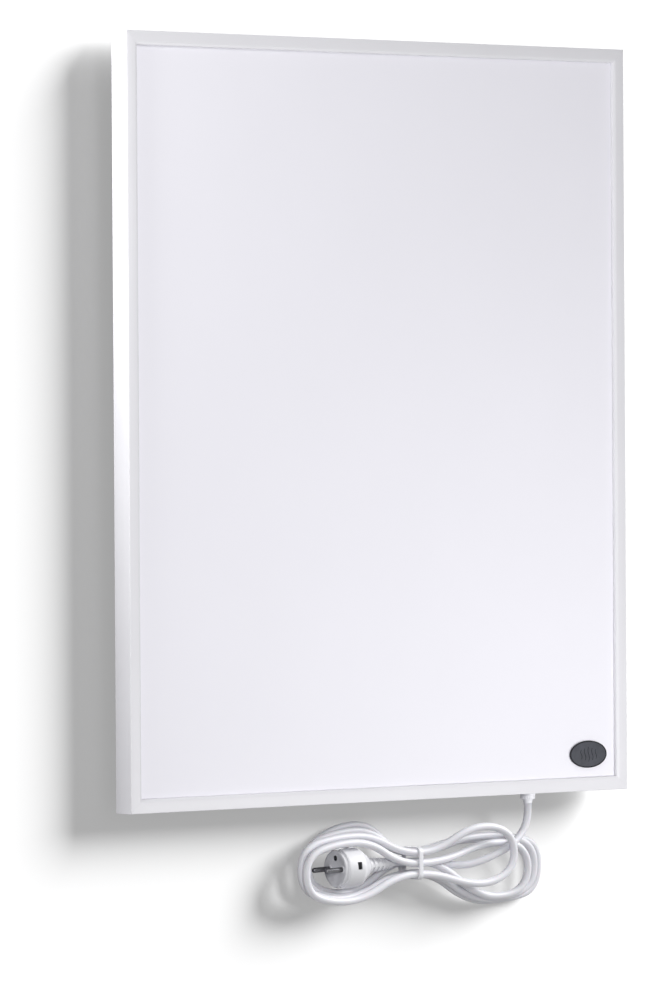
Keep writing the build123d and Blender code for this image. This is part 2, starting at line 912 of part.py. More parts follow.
boot_profile = [
    (boot_bore, boot_end_z),
    (boot_end_diameter / 2, boot_end_z),
    (boot_top_diameter / 2, cap_bottom_z),
    (boot_top_diameter / 2, boot_top_z),
    (boot_bore, boot_top_z),
]
with BuildPart() as gland_boot:
    with BuildSketch(Plane(origin=(gland_x, gland_y, 0), x_dir=RIGHT, z_dir=-BACK)):
        with BuildLine():
            Polyline(*boot_profile, close=True)
        make_face()
    revolve(axis=Axis((gland_x, gland_y, 0), (0, 0, 1)))
save(gland_boot.part, "gland_boot")

with BuildPart() as cord_tail:
    with BuildSketch(Plane(origin=(gland_x, gland_y, boot_end_z), z_dir=UP)):
        Circle(cord_diameter / 2)
    extrude(amount=sheath_end - boot_end_z)
save(cord_tail.part, "cord_tail")

# ---- Hooked rails ----


def hooked(outline, height, length, hole_places, hole_diameter, hole_from_y):
    """A folded steel rail across the panel, with round holes through its base."""
    with BuildPart() as made:
        with BuildSketch(Plane(origin=(0, 0, height), x_dir=BACK, z_dir=RIGHT)):
            with BuildLine():
                Polyline(*outline, close=True)
            make_face()
        extrude(amount=length / 2, both=True)
        with BuildSketch(Plane.XZ.offset(-hole_from_y)):
            with Locations(*hole_places):
                Circle(hole_diameter / 2)
        extrude(amount=-steel, mode=Mode.SUBTRACT)
    return made.part


wall_outline = [
    (0, -wall_rail_below),
    (0, wall_rail_above),
    (-hook_out + steel, wall_rail_above),
    (-hook_out + steel, hook_top_z),
    (-hook_out, hook_top_z),
    (-hook_out, wall_rail_above - steel),
    (-steel, wall_rail_above - steel),
    (-steel, -wall_rail_below),
]
hanger_outline = [
    (back_y, -hanger_below),
    (back_y, hook_top_z + steel),
    (hanger_hook_y, hook_top_z + steel),
    (hanger_hook_y, hook_tip_z),
    (hanger_hook_y - steel, hook_tip_z),
    (hanger_hook_y - steel, hook_top_z),
    (back_y + steel, hook_top_z),
    (back_y + steel, -hanger_below),
]
for height, where in zip(rail_heights, ("lower", "upper")):
    fixing_places = [(side * fixing_width / 2, height) for side in (-1, 1)]
    wall_rail = hooked(
        wall_outline, height, wall_rail_length, fixing_places, fixing_hole_diameter, -steel
    )
    save(wall_rail, f"wall_rail_{where}")
    hanger_rail = hooked(
        hanger_outline, height, hanger_length, rivet_places(height), rivet_diameter + 2 * hole_play, back_y
    )
    save(hanger_rail, f"hanger_rail_{where}")

with BuildPart() as hanger_rivets:
    add(
        screws(
            back_plane.offset(steel),
            from_back(all_rivets),
            rivet_head,
            rivet_head_height,
            rivet_diameter,
            steel + cover_thickness,
        )
    )
    with BuildSketch(at_depth(cover_depth)):
        with Locations(*all_rivets):
            Circle(rivet_tail / 2)
    extrude(amount=rivet_tail_height)
save(hanger_rivets.part, "hanger_rivets")

save(
    screws(
        back_plane,
        from_back(buffer_places),
        buffer_diameter,
        wall_gap - buffer_to_wall,
        buffer_stem_diameter,
        cover_thickness + buffer_stem_length - hole_play,
    ),
    "wall_buffers",
)

# ---- Badge ----

badge_place = (half_width - badge_from_right, -half_height + badge_from_bottom)
with BuildPart() as badge_pad:
    with BuildSketch(at_depth(plate_depth)):
        with Locations(badge_place):
            Ellipse(badge_width / 2 - badge_pad_inset, badge_height / 2 - badge_pad_inset)
    extrude(amount=badge_pad_thickness)
save(badge_pad.part, "badge_pad")

badge_back_depth = plate_depth - badge_pad_thickness
with BuildPart() as badge:
    with BuildSketch(at_depth(badge_back_depth)):
        with Locations(badge_place):
            Ellipse(badge_width / 2, badge_height / 2)
    extrude(amount=badge_thickness)
    with BuildSketch(at_depth(badge_back_depth - badge_thickness)):
        with Locations(badge_place):
            Ellipse(badge_width / 2 - badge_rim, badge_height / 2 - badge_rim)
    extrude(amount=-badge_rim_height, mode=Mode.SUBTRACT)
save(badge.part, "badge")

# ---- Cord ----


def arc_radii(points, share=0.45):
    """The radius at each corner: a share of the shorter run over the tangent of half the turn."""
    radii = []
    for before, corner, after in zip(points, points[1:], points[2:]):
        first = Vector(corner) - Vector(before)
        second = Vector(after) - Vector(corner)
        half_turn = math.radians(first.get_angle(second)) / 2
        radii.append(share * min(first.length, second.length) / math.tan(half_turn))
    return radii


boot_end = Vector(gland_x, gland_y, boot_end_z)
hank_start = Vector(hank_middle_x + hank_lead_in, waist_y + waist_column, hank_middle_z)
free_cord_points = [boot_end]
free_cord_points += [boot_end + Vector(*step) for step in free_cord_steps]
free_cord_points += [hank_start + RIGHT * last_free_run, hank_start]
free_cord_radii = arc_radii(free_cord_points)
print("cord_lead radii, mm:", [round(radius, 1) for radius in free_cord_radii])

with BuildPart() as cord_lead:
    with BuildLine() as lead_route:
        FilletPolyline(*free_cord_points, radius=free_cord_radii)
    with BuildSketch(Plane(origin=boot_end, z_dir=lead_route.line % 0)):
        Circle(cord_diameter / 2)
    sweep(path=lead_route.line)
save(cord_lead.part, "cord_lead")


def waist_slot(column, row):
    """A place in the tied bundle. Column 1 is nearest the wall and row 1 is the top."""
    return Vector(hank_middle_x, waist_y + column * waist_column, hank_middle_z + row * waist_row)


plug_way = (
    LEFT * (math.cos(math.radians(plug_turn)) * math.cos(math.radians(plug_dip)))
    + BACK * (math.sin(math.radians(plug_turn)) * math.cos(math.radians(plug_dip)))
    + DOWN * math.sin(math.radians(plug_dip))
)
plug_end = Vector(*plug_start)

# Slots of the bundle, in the order in which the loops pass through it
bottom_slots = [(1, 0), (1, -1), (0, -1), (-1, -1)]
top_slots = [(1, 1), (0, 1), (-1, 1), (-1, 0)]


def between(rear, front, share, y):
    """A place between a rear and a front one, at its own distance from the wall."""
    x, z = (first + (last - first) * share for first, last in zip(rear, front))
    return Vector(x, y, z)


def loop_stations(loop):
    """Where one loop passes, with its direction there: the left lobe, then the right lobe."""
    left_share = loop / (hank_loops - 1)
    left_y = rear_layer_y - layer_pitch * loop
    right_share = right_layers[loop] / right_layers[-1]
    right_y = rear_layer_y - layer_pitch * right_layers[loop]

    def right_place(rear, last, front):
        if loop == front_right_loop:
            return between(front, front, 0, right_y)
        return between(rear, last, right_share, right_y)

    return [
        (waist_slot(*bottom_slots[loop]), LEFT),
        (between(left_bottom_rear, left_bottom_front, left_share, left_y), LEFT),
        (between(left_end_rear, left_end_front, left_share, left_y), UP),
        (between(left_top_rear, left_top_front, left_share, left_y), RIGHT),
        (waist_slot(*top_slots[loop]), RIGHT),
        (right_place(right_top_rear, right_top_last, right_top_front), RIGHT),
        (right_place(right_end_rear, right_end_last, right_end_front), DOWN),
        (right_place(right_bottom_rear, right_bottom_last, right_bottom_front), LEFT),
    ]


def arc_pair(start, start_way, end, end_way):
    """Two arcs that leave and arrive in the given directions, and meet smoothly."""
    gap = end - start
    bend = 2 * (1 - start_way.dot(end_way))
    along = gap.dot(start_way + end_way)
    if bend < 1e-9:
        reach = gap.dot(gap) / (2 * along)
    else:
        reach = (math.sqrt(along**2 + bend * gap.dot(gap)) - along) / bend
    from_start = start + start_way * reach
    from_end = end - end_way * reach
    middle = (from_start + from_end) / 2
    TangentArc(start, middle, tangent=start_way)
    TangentArc(middle, end, tangent=from_end - from_start)


hank_stations = [station for loop in range(hank_loops) for station in loop_stations(loop)]
hank_stations.append((waist_slot(0, 0), LEFT))
hank_stations.append((plug_end - plug_way * cord_diameter, plug_way))

with BuildPart() as cord_hank:
    with BuildLine() as hank_route:
        Line(hank_start, hank_stations[0][0])
        for (start, start_way), (end, end_way) in zip(hank_stations, hank_stations[1:]):
            arc_pair(start, start_way, end, end_way)
        Line(hank_stations[-1][0], plug_end)
    with BuildSketch(Plane(origin=hank_start, z_dir=LEFT)):
        Circle(cord_diameter / 2)
    sweep(path=hank_route.wire())
save(cord_hank.part, "cord_hank")


def spots_along(route, step=2.5):
    """Points along a route, each with its distance from the start."""
    spots = []
    travelled = 0.0
    for edge in route.edges():
        count = max(1, round(edge.length / step))
        for i in range(count):
            spots.append((travelled + edge.length * i / count, edge.position_at(i / count)))
        travelled += edge.length
    return spots


def least_gap(spots, apart):
    """Least distance between a tube's surfaces, leaving out what is near along the cord."""
    least = math.inf
    for along, spot in spots:
        for other_along, other in spots:
            if other_along - along > apart:
                least = min(least, (spot - other).length)
    return least - cord_diameter


hank_spots = spots_along(hank_route)
near_along = 4 * cord_diameter
hank_length = hank_route.wire().length
lead_length = lead_route.wire().length
lead_spots = [spot for _, spot in spots_along(lead_route) if (spot - hank_start).length > near_along]
lead_gap = min((spot - other).length for spot in lead_spots for _, other in hank_spots)
arc_sizes = [edge.radius for edge in hank_route.edges().filter_by(GeomType.CIRCLE)]
print("cord_hank length, mm:", round(hank_length, 1))
print("cord_hank smallest radius, mm:", round(min(arc_sizes), 1))
print("cord_hank least gap to itself, mm:", round(least_gap(hank_spots, near_along), 2))
print("cord_hank least gap to cord_lead, mm:", round(lead_gap - cord_diameter, 2))
print("cord_lead length, mm:", round(lead_length, 1))
tube_section = math.pi * cord_diameter**2 / 4
print("cord_hank volume share:", round(cord_hank.part.volume / (tube_section * hank_length), 4))
print("cord_lead volume share:", round(cord_lead.part.volume / (tube_section * lead_length), 4))

# ---- Cable tie ----

tie_plane = Plane(origin=(hank_middle_x - tie_width / 2, waist_y, hank_middle_z), x_dir=BACK, z_dir=RIGHT)
bundle_slots = set(bottom_slots + top_slots + [(0, 0)])
strand = cord_diameter / 2 + tie_play
with BuildPart() as cable_tie:
    with BuildSketch(tie_plane):
        for column, row in bundle_slots:
            with Locations((column * waist_column, row * waist_row)):
                Circle(strand)
        make_hull()
        offset(amount=tie_thickness)
    extrude(amount=tie_width)
    with BuildSketch(tie_plane):
        for column, row in bundle_slots:
            with Locations((column * waist_column, row * waist_row)):
                Circle(strand)
        make_hull()
    extrude(amount=tie_width, mode=Mode.SUBTRACT)
    behind = waist_column + strand + (tie_thickness + tie_head_height) / 2
    head_middle = -waist_row / 2
    with BuildSketch(tie_plane.offset(-(tie_head_length - tie_width) / 2)):
        with Locations((behind, head_middle)):
            RectangleRounded(tie_head_height, tie_head_length, tie_thickness / 2)
    extrude(amount=tie_head_length)
    with BuildSketch(tie_plane):
        with Locations((behind, head_middle - (tie_head_length + tie_tail) / 2)):
            Rectangle(tie_thickness, tie_tail)
    extrude(amount=tie_width)
save(cable_tie.part, "cable_tie")

# ---- Mains plug ----

body_length = relief_length + plug_taper + plug_grip
face_length = body_length + face_thickness
plug_side = Plane(origin=plug_end, x_dir=plug_way, z_dir=plug_way.cross(UP).normalized())
plug_axis = Axis(plug_end, plug_way)


def across_plug(distance):
    """A plane across the plug's axis, with its X level and its Y as near up as can be."""
    return Plane(
        origin=plug_end + plug_way * distance,
        x_dir=UP.cross(plug_way).normalized(),
        z_dir=plug_way,
    )


rib_step = relief_length / relief_ribs
body_outline = [(0, 0)]
for rib in range(relief_ribs):
    share = rib / relief_ribs
    rib_radius = (relief_start_diameter + (relief_end_diameter - relief_start_diameter) * share) / 2
    body_outline += [
        (rib * rib_step, rib_radius),
        ((rib + 0.6) * rib_step, rib_radius),
        ((rib + 0.6) * rib_step, rib_radius - relief_rib_depth),
        ((rib + 1) * rib_step, rib_radius - relief_rib_depth),
    ]
body_outline += [
    (relief_length, plug_back_diameter / 2),
    (relief_length + plug_taper, plug_diameter / 2),
    (body_length, plug_diameter / 2),
    (body_length, 0),
]
clip_recess = earth_clip_width + 2 * earth_clip_stand
with BuildPart() as plug_body:
    with BuildSketch(plug_side):
        with BuildLine():
            Polyline(*body_outline, close=True)
        make_face()
    revolve(axis=plug_axis)
    with BuildSketch(across_plug(body_length)):
        with Locations((0, plug_diameter / 2), (0, -plug_diameter / 2)):
            Rectangle(clip_recess, 2 * (earth_clip_stand + earth_clip_thickness))
    extrude(amount=-(earth_clip_length - face_thickness + earth_clip_stand), mode=Mode.SUBTRACT)
save(plug_body.part, "plug_body")

with BuildPart() as plug_face:
    with BuildSketch(across_plug(body_length)):
        Circle(face_diameter / 2)
    extrude(amount=face_thickness)
    with BuildSketch(across_plug(face_length)):
        with Locations((-pin_pitch / 2, 0), (pin_pitch / 2, 0)):
            Circle(pin_diameter / 2 + hole_play)
    extrude(amount=-pin_in_face, mode=Mode.SUBTRACT)
    with BuildSketch(across_plug(face_length)):
        with Locations((0, earth_hole_offset)):
            Circle(earth_hole_diameter / 2)
    extrude(amount=-earth_hole_depth, mode=Mode.SUBTRACT)
save(plug_face.part, "plug_face")

with BuildPart() as plug_pins:
    with BuildSketch(across_plug(face_length - pin_in_face)):
        with Locations((-pin_pitch / 2, 0), (pin_pitch / 2, 0)):
            Circle(pin_diameter / 2)
    extrude(amount=pin_in_face + pin_length)
    fillet(plug_pins.faces().sort_by(plug_axis)[-2:].edges(), pin_diameter / 4)
save(plug_pins.part, "plug_pins")

clip_middle = plug_diameter / 2 - earth_clip_stand - earth_clip_thickness / 2
with BuildPart() as plug_earth_clips:
    with BuildSketch(across_plug(body_length - earth_clip_length + face_thickness)):
        with Locations((0, clip_middle), (0, -clip_middle)):
            Rectangle(earth_clip_width, earth_clip_thickness)
    extrude(amount=earth_clip_length)
save(plug_earth_clips.part, "plug_earth_clips")

print("lift-off travel, mm:", lift_off)
print("gland, mm:", [round(value, 2) for value in boot_end])
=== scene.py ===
"""Looks of a white infrared panel heater that hangs on a wall, with its mains cord in a tied hank.

Places are in metres. Outlines, profiles, sections and the cord's route are in millimetres.
"""

import json
from math import cos, pi, radians, sin, sqrt, tan, tau

import bmesh
import bpy
from bpy.props import FloatProperty, FloatVectorProperty, IntProperty, PointerProperty
from mathutils import Matrix, Vector

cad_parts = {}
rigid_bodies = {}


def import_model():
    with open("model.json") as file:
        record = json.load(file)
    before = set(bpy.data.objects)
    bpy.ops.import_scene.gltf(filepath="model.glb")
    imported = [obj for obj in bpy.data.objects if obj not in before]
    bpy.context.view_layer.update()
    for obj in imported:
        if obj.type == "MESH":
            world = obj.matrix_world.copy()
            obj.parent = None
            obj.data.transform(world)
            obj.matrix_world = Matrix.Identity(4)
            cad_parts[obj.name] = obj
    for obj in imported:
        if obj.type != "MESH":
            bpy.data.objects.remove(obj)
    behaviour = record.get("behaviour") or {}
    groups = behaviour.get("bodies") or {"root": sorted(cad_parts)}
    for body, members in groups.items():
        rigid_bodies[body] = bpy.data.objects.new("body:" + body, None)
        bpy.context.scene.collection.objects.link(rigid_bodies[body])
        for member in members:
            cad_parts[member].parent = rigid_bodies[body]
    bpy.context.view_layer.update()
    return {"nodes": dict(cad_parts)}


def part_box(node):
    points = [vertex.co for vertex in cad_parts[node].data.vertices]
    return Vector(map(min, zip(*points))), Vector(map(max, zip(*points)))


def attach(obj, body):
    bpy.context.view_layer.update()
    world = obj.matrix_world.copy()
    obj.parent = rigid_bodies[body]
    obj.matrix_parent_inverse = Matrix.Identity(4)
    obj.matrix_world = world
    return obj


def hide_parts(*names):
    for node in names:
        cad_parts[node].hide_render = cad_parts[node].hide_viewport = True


bl_info = {
    "name": "Infrared panel heater",
    "version": (1, 0, 0),
    "blender": (4, 5, 0),
    "location": "3D View > Sidebar > Heater",
    "description": "Builds a wall-hung panel heater with its gland, badge, cord hank and mains plug",
    "category": "Object",
}

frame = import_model()
NODES = frame["nodes"]

MM = 0.001
LEFT = Vector((-1, 0, 0))
RIGHT = Vector((1, 0, 0))
UP = Vector((0, 0, 1))
DOWN = Vector((0, 0, -1))
TO_WALL = Vector((0, 1, 0))
TO_ROOM = Vector((0, -1, 0))
SQUARE = ((-1, -1), (1, -1), (1, 1), (-1, 1))


# ---- Settings ----


def length(name, millimetres, text):
    return FloatProperty(name=name, description=text, default=millimetres * MM, unit="LENGTH")


def power(name, watts, text):
    return FloatProperty(name=name, description=text, default=watts, unit="POWER")


def amount(name, value, text):
    return FloatProperty(name=name, description=text, default=value, min=0.0)


def tint(name, value, text):
    return FloatVectorProperty(name=name, description=text, default=value, subtype="COLOR")


class SurroundSettings(bpy.types.PropertyGroup):
    """The aluminium surround and the coated plate."""

    lip_width: length("Lip width", 13.0, "Width of the rails' front lip")
    recess: length("Recess", 3.5, "Depth of the plate's gasket behind the lip")
    edge_radius: length("Edge radius", 0.55, "Rounding of the rails' outer edges")
    rail_colour: tint("Rail colour", (0.748, 0.743, 0.777), "Powder coat of the rails")
    plate_colour: tint("Plate colour", (0.86, 0.85, 0.91), "Heat-proof coating of the plate")


class BadgeSettings(bpy.types.PropertyGroup):
    """The oval badge."""

    dome: length("Dome", 0.3, "Height of the badge's raised middle")
    colour: tint("Badge colour", (0.026, 0.028, 0.036), "Dark pewter lacquer")


class CordSettings(bpy.types.PropertyGroup):
    """The mains cord and its hank."""

    diameter: length("Diameter", 7.2, "Outer diameter of the cord")
    length: length("Length", 2680.0, "Length from the gland to the plug")
    layer_pitch: length("Layer pitch", 7.8, "Distance between loops that lie over each other")
    waist_column: length("Waist column", 8.0, "Step towards the room in the tied bundle")
    waist_row: length("Waist row", 10.0, "Step upwards in the tied bundle")
    colour: tint("Cord colour", (0.79, 0.79, 0.835), "White vinyl jacket")


class PlugSettings(bpy.types.PropertyGroup):
    """The moulded mains plug."""

    relief_length: length("Relief length", 32.0, "Length of the ribbed relief")
    diameter: length("Diameter", 37.5, "Diameter of the grip")
    ribs: IntProperty(name="Ribs", description="Ribs on the relief", default=6, min=3, max=10)


class StageSettings(bpy.types.PropertyGroup):
    """Lamps and wall."""

    side_lamp: power("Side lamp", 3.3, "Lamp at the left, near the wall")
    high_lamp: power("High lamp", 2.5, "Upper left lamp")
    right_lamp: power("Right lamp", 5.1, "Lower right lamp")
    front_lamp: power("Front lamp", 23.2, "Broad lamp beside the camera")
    back_lamp: power("Back lamp", 15.0, "Lamp behind the wall")
    wall_lamp: amount("Wall lamp", 17.9, "Light on the wall, watts a square metre")
    hank_lamp: amount("Hank lamp", 2.6, "Light on the cord, watts a square metre")
    wall_glow: amount("Wall glow", 0.335, "The wall's own paleness in the picture")
    ambient: amount("Room light", 0.3, "Soft light from all round")


SETTINGS = {
    "heater_surround": SurroundSettings,
    "heater_badge": BadgeSettings,
    "heater_cord": CordSettings,
    "heater_plug": PlugSettings,
    "heater_stage": StageSettings,
}


# ---- Materials ----


class Nodes:
    """Adds nodes to one tree."""

    def __init__(self, tree):
        self.nodes = tree.nodes
        self.link = tree.links.new

    def add(self, kind, inputs, output, **values):
        """Adds a node with its inputs set or linked, and gives an output."""
        node = self.nodes.new(kind)
        for key, value in values.items():
            setattr(node, key, value)
        for key, value in inputs.items():
            if isinstance(value, bpy.types.NodeSocket):
                self.link(value, node.inputs[key])
            else:
                node.inputs[key].default_value = value
        return node.outputs[output]

    def span(self, factor, low, high):
        """A factor spread over a range of numbers."""
        return self.add("ShaderNodeMapRange", {"Value": factor, "To Min": low, "To Max": high}, "Result")


class Paint(Nodes):
    """One material, in shades of a base colour."""

    def __init__(self, name, base=(1, 1, 1)):
        self.material = bpy.data.materials.new(name)
        self.material.use_nodes = True
        super().__init__(self.material.node_tree)
        self.shader = self.nodes["Principled BSDF"]
        self.places = self.add("ShaderNodeTexCoord", {}, "Object")
        self.base = base

    def pattern(self, kind, output, size, stretch, inputs, **values):
        """A texture on the object's places, squeezed along some axes."""
        places = self.add("ShaderNodeMapping", {"Vector": self.places, "Scale": stretch}, "Vector")
        return self.add(kind, {"Vector": places, "Scale": 1 / size, **inputs}, output, **values)

    def noise(self, size, detail=4.0, stretch=(1, 1, 1), roughness=0.55):
        """Noise whose largest features are about size metres across."""
        inputs = {"Detail": detail, "Roughness": roughness}
        return self.pattern("ShaderNodeTexNoise", "Fac", size, stretch, inputs)

    def cells(self, size):
        """Cells about size metres across, each with a grey of its own."""
        return self.span(self.pattern("ShaderNodeTexVoronoi", "Color", size, (1, 1, 1), {}), 0.0, 1.0)

    def bands(self, size, stretch=(1, 1, 1)):
        """Slanting bands that repeat every size metres."""
        inputs = {"Scale": 0.314 / size, "Distortion": 0.0}
        kind = {"wave_type": "BANDS", "bands_direction": "DIAGONAL"}
        return self.pattern("ShaderNodeTexWave", "Fac", size, stretch, inputs, **kind)

    def colours(self, factor, stops):
        """Base colours along a factor, as (place, colour) pairs."""
        node = self.nodes.new("ShaderNodeValToRGB")
        self.link(factor, node.inputs["Fac"])
        elements = node.color_ramp.elements
        while len(elements) < len(stops):
            elements.new(0.5)
        for element, (place, colour) in zip(elements, stops):
            element.position = place
            element.color = (*colour, 1)
        self.link(node.outputs["Color"], self.shader.inputs["Base Color"])

    def tones(self, factor, *stops):
        """Shades of the base colour along a factor, as (place, shade) pairs."""
        shades = [[min(1.0, part * tone) for part in self.base] for _, tone in stops]
        self.colours(factor, [(stop[0], colour) for stop, colour in zip(stops, shades)])

    def rough(self, factor, low, high):
        self.link(self.span(factor, low, high), self.shader.inputs["Roughness"])

    def bump(self, factor, height, strength):
        """Raises the surface by height metres where the factor is one."""
        inputs = {"Height": factor, "Distance": height, "Strength": strength}
        normal = self.shader.inputs["Normal"]
        if normal.links:
            inputs["Normal"] = normal.links[0].from_socket
        self.link(self.add("ShaderNodeBump", inputs, "Normal"), normal)

    def done(self, **constants):
        """The material, with its constant sockets set."""
        for key, value in constants.items():
            self.shader.inputs[key.replace("_", " ")].default_value = value
        return self.material


def surface(name, colour, cloud, tones, rough, *bumps, **constants):
    """Cloudy colour, patchy roughness and fine bumps.

    cloud, and the first entry of rough and of each bump, give a noise's size, detail and stretch.
    tones are the shade at the low end, the place of the high end, and the shade there.
    """
    paint = Paint(name, colour)
    low, place, high = tones
    paint.tones(paint.noise(*cloud), (0.3, low), (place, high))
    patches, smoothest, roughest = rough
    paint.rough(paint.noise(*patches), smoothest, roughest)
    for grain, height, strength in bumps:
        paint.bump(paint.noise(*grain), height, strength)
    return paint.done(**constants)


def powder_coat(name, colour):
    grain = ((0.0016, 3), 0.00004, 0.5)
    return surface(name, colour, (0.06, 3), (0.985, 0.7, 1.01), ((0.004, 5), 0.36, 0.5), grain, IOR=1.48)


def plate_coat(name, colour):
    bumps = [((0.0011, 4), 0.00003, 0.6), ((0.03, 2), 0.0001, 0.2)]
    return surface(name, colour, (0.12, 4), (0.988, 0.7, 1.0), ((0.006, 4), 0.5, 0.62), *bumps, IOR=1.45)


def rubber(name, colour):
    grain = ((0.0009, 4), 0.00005, 0.6)
    return surface(name, colour, (0.01, 5), (0.94, 0.75, 1.05), ((0.003, 4), 0.65, 0.85), grain)


def moulding(name, colour, rough=0.3, ior=1.5):
    """Moulded plastic with a fine spark-eroded grain and faint flow marks."""
    flow, grain = (0.02, 4, (1, 1, 2.2)), ((0.0014, 3), 0.00002, 0.5)
    return surface(name, colour, flow, (0.97, 0.7, 1.01), ((0.005, 4), rough, rough + 0.12), grain, IOR=ior)


def jacket(name, colour):
    """Extruded vinyl: satin, with the faint twist of the cores beneath."""
    bumps = [((0.007, 2, (1, 1, 1.7)), 0.00012, 0.35), ((0.0011, 3), 0.00002, 0.4)]
    constants = {"IOR": 1.52, "Subsurface_Weight": 0.05, "Subsurface_Scale": 0.002}
    return surface(name, colour, (0.03, 4), (0.965, 0.7, 1.01), ((0.006, 5), 0.3, 0.46), *bumps, **constants)


def rolled_metal(name, colour, rough=0.3, stretch=(1, 1, 30), size=0.012):
    """Sheet metal with the fine lines of rolling or brushing."""
    paint = Paint(name, colour)
    lines = paint.noise(size, 6, stretch)
    paint.tones(lines, (0.3, 0.86), (0.7, 1.06))
    paint.rough(lines, rough, rough + 0.16)
    paint.bump(lines, 0.00002, 0.35)
    return paint.done(Metallic=1.0)


def turned_metal(name, colour, rough):
    return rolled_metal(name, colour, rough, (1, 1, 1), 0.002)


def galvanised(name, colour):
    """Zinc coat with its dull crystal pattern."""
    paint = Paint(name, colour)
    spangle = paint.cells(0.011)
    paint.tones(spangle, (0.1, 0.84), (0.5, 1), (0.9, 1.08))
    paint.rough(spangle, 0.34, 0.52)
    paint.bump(paint.noise(0.002, 5), 0.00003, 0.35)
    return paint.done(Metallic=1.0)


def mica(name, colour):
    """Pressed mica: amber flakes, some of them silvery."""
    paint = Paint(name, colour)
    flakes = paint.cells(0.004)
    paint.tones(flakes, (0.1, 0.7), (0.6, 1), (0.95, 1.4))
    paint.rough(flakes, 0.25, 0.6)
    paint.bump(paint.noise(0.003, 6), 0.00005, 0.5)
    return paint.done(Coat_Weight=0.2)


def fibre(name, colour):
    """Felted mineral fibre."""
    paint = Paint(name, colour)
    strands = paint.noise(0.006, 8, (1, 1, 4), 0.75)
    paint.tones(strands, (0.3, 0.72), (0.7, 1.08))
    paint.rough(strands, 0.85, 1.0)
    paint.bump(strands, 0.0004, 0.8)
    return paint.material


def sleeve(name, colour):
    """Woven glass-fibre sleeve."""
    paint = Paint(name, colour)
    threads = {0: paint.bands(0.0007), 1: paint.bands(0.0007, (-1, 1, 1))}
    weave = paint.add("ShaderNodeMath", threads, "Value", operation="MULTIPLY")
    paint.tones(weave, (0.1, 0.7), (0.7, 1.05))
    paint.rough(paint.noise(0.002), 0.7, 0.9)
    paint.bump(weave, 0.0001, 0.7)
    return paint.material


def striped_core(name, green, yellow):
    """Earth core: green with a yellow stripe that winds round it."""
    paint = Paint(name)
    paint.colours(paint.bands(0.006), [(0.45, green), (0.55, yellow)])
    paint.rough(paint.noise(0.003), 0.35, 0.5)
    paint.bump(paint.noise(0.002), 0.00003, 0.4)
    return paint.material


def ceramic(name, colour):
    paint = Paint(name, colour)
    specks = paint.noise(0.0015, 6, roughness=0.8)
    paint.tones(specks, (0.25, 0.82), (0.5, 1), (0.8, 1.05))
    paint.rough(paint.noise(0.004), 0.55, 0.75)
    paint.bump(specks, 0.00006, 0.5)
    return paint.material


def lacquer(name, colour):
    """Dark lacquer over cast metal."""
    paint = Paint(name, colour)
    paint.tones(paint.noise(0.012, 6, roughness=0.7), (0.3, 1), (0.75, 2))
    paint.rough(paint.noise(0.002, 5), 0.42, 0.6)
    paint.bump(paint.noise(0.0012, 5), 0.00005, 0.6)
    return paint.done(Metallic=0.1, Coat_Weight=0.1, Coat_Roughness=0.4, IOR=1.4)


FINISHES = {}


def mix_finishes(scene):
    """One material for each slot of the record."""
    white = (0.84, 0.84, 0.88)
    FINISHES.update(
        frame_paint=powder_coat("Rail powder coat", scene.heater_surround.rail_colour),
        plate_paint=plate_coat("Plate coating", scene.heater_surround.plate_colour),
        soft_rubber=rubber("White silicone rubber", (0.72, 0.72, 0.74)),
        mica_sheet=mica("Pressed mica", (0.42, 0.30, 0.15)),
        element_foil=rolled_metal("Resistance foil", (0.30, 0.29, 0.28), 0.35),
        reflector_foil=rolled_metal("Reflector foil", (0.80, 0.80, 0.82), 0.12, size=0.02),
        fibre_board=fibre("Mineral fibre board", (0.62, 0.53, 0.30)),
        zinc_steel=galvanised("Zinc-coated steel", (0.62, 0.64, 0.66)),
        screw_steel=turned_metal("Zinc-plated screws", (0.66, 0.66, 0.67), 0.25),
        terminal_brass=turned_metal("Turned brass", (0.66, 0.47, 0.18), 0.22),
        terminal_ceramic=ceramic("Unglazed ceramic", (0.78, 0.74, 0.66)),
        cutout_case=moulding("Black moulded case", (0.01, 0.01, 0.013), 0.5, 1.25),
        white_nylon=moulding("White nylon", white, 0.34),
        soft_boot=moulding("Soft white vinyl", white, 0.45),
        cord_jacket=jacket("White cord jacket", scene.heater_cord.colour),
        core_brown=moulding("Brown core", (0.11, 0.045, 0.02), 0.4),
        core_blue=moulding("Blue core", (0.02, 0.09, 0.38), 0.4),
        core_green=striped_core("Green and yellow core", (0.06, 0.30, 0.04), (0.75, 0.62, 0.05)),
        heat_sleeve=sleeve("Glass-fibre sleeve", (0.74, 0.72, 0.64)),
        plug_shell=moulding("White plug moulding", (0.8, 0.8, 0.83), 0.24),
        # The pins' very dark colour is a painted dark reflection of dark surroundings, much darker than bare
        # nickel
        pin_metal=rolled_metal("Nickel-plated pins", (0.15, 0.15, 0.16), 0.18, (30, 1, 1), 0.004),
        badge_face=lacquer("Badge lacquer", scene.heater_badge.colour),
        badge_tape=rubber("Badge foam tape", (0.02, 0.02, 0.022)),
    )
    for slot_name, material in FINISHES.items():
        material["slot"] = slot_name


def dress_cad_nodes():
    """Gives each carried-over solid the finish of its slot."""
    for node in NODES.values():
        for slot in node.material_slots:
            name = slot.material.name.split(".")[0] if slot.material else ""
            if name in FINISHES:
                slot.material = FINISHES[name]


# ---- Shapes ----

TINY = 1e-7
CREASE = radians(34.0)


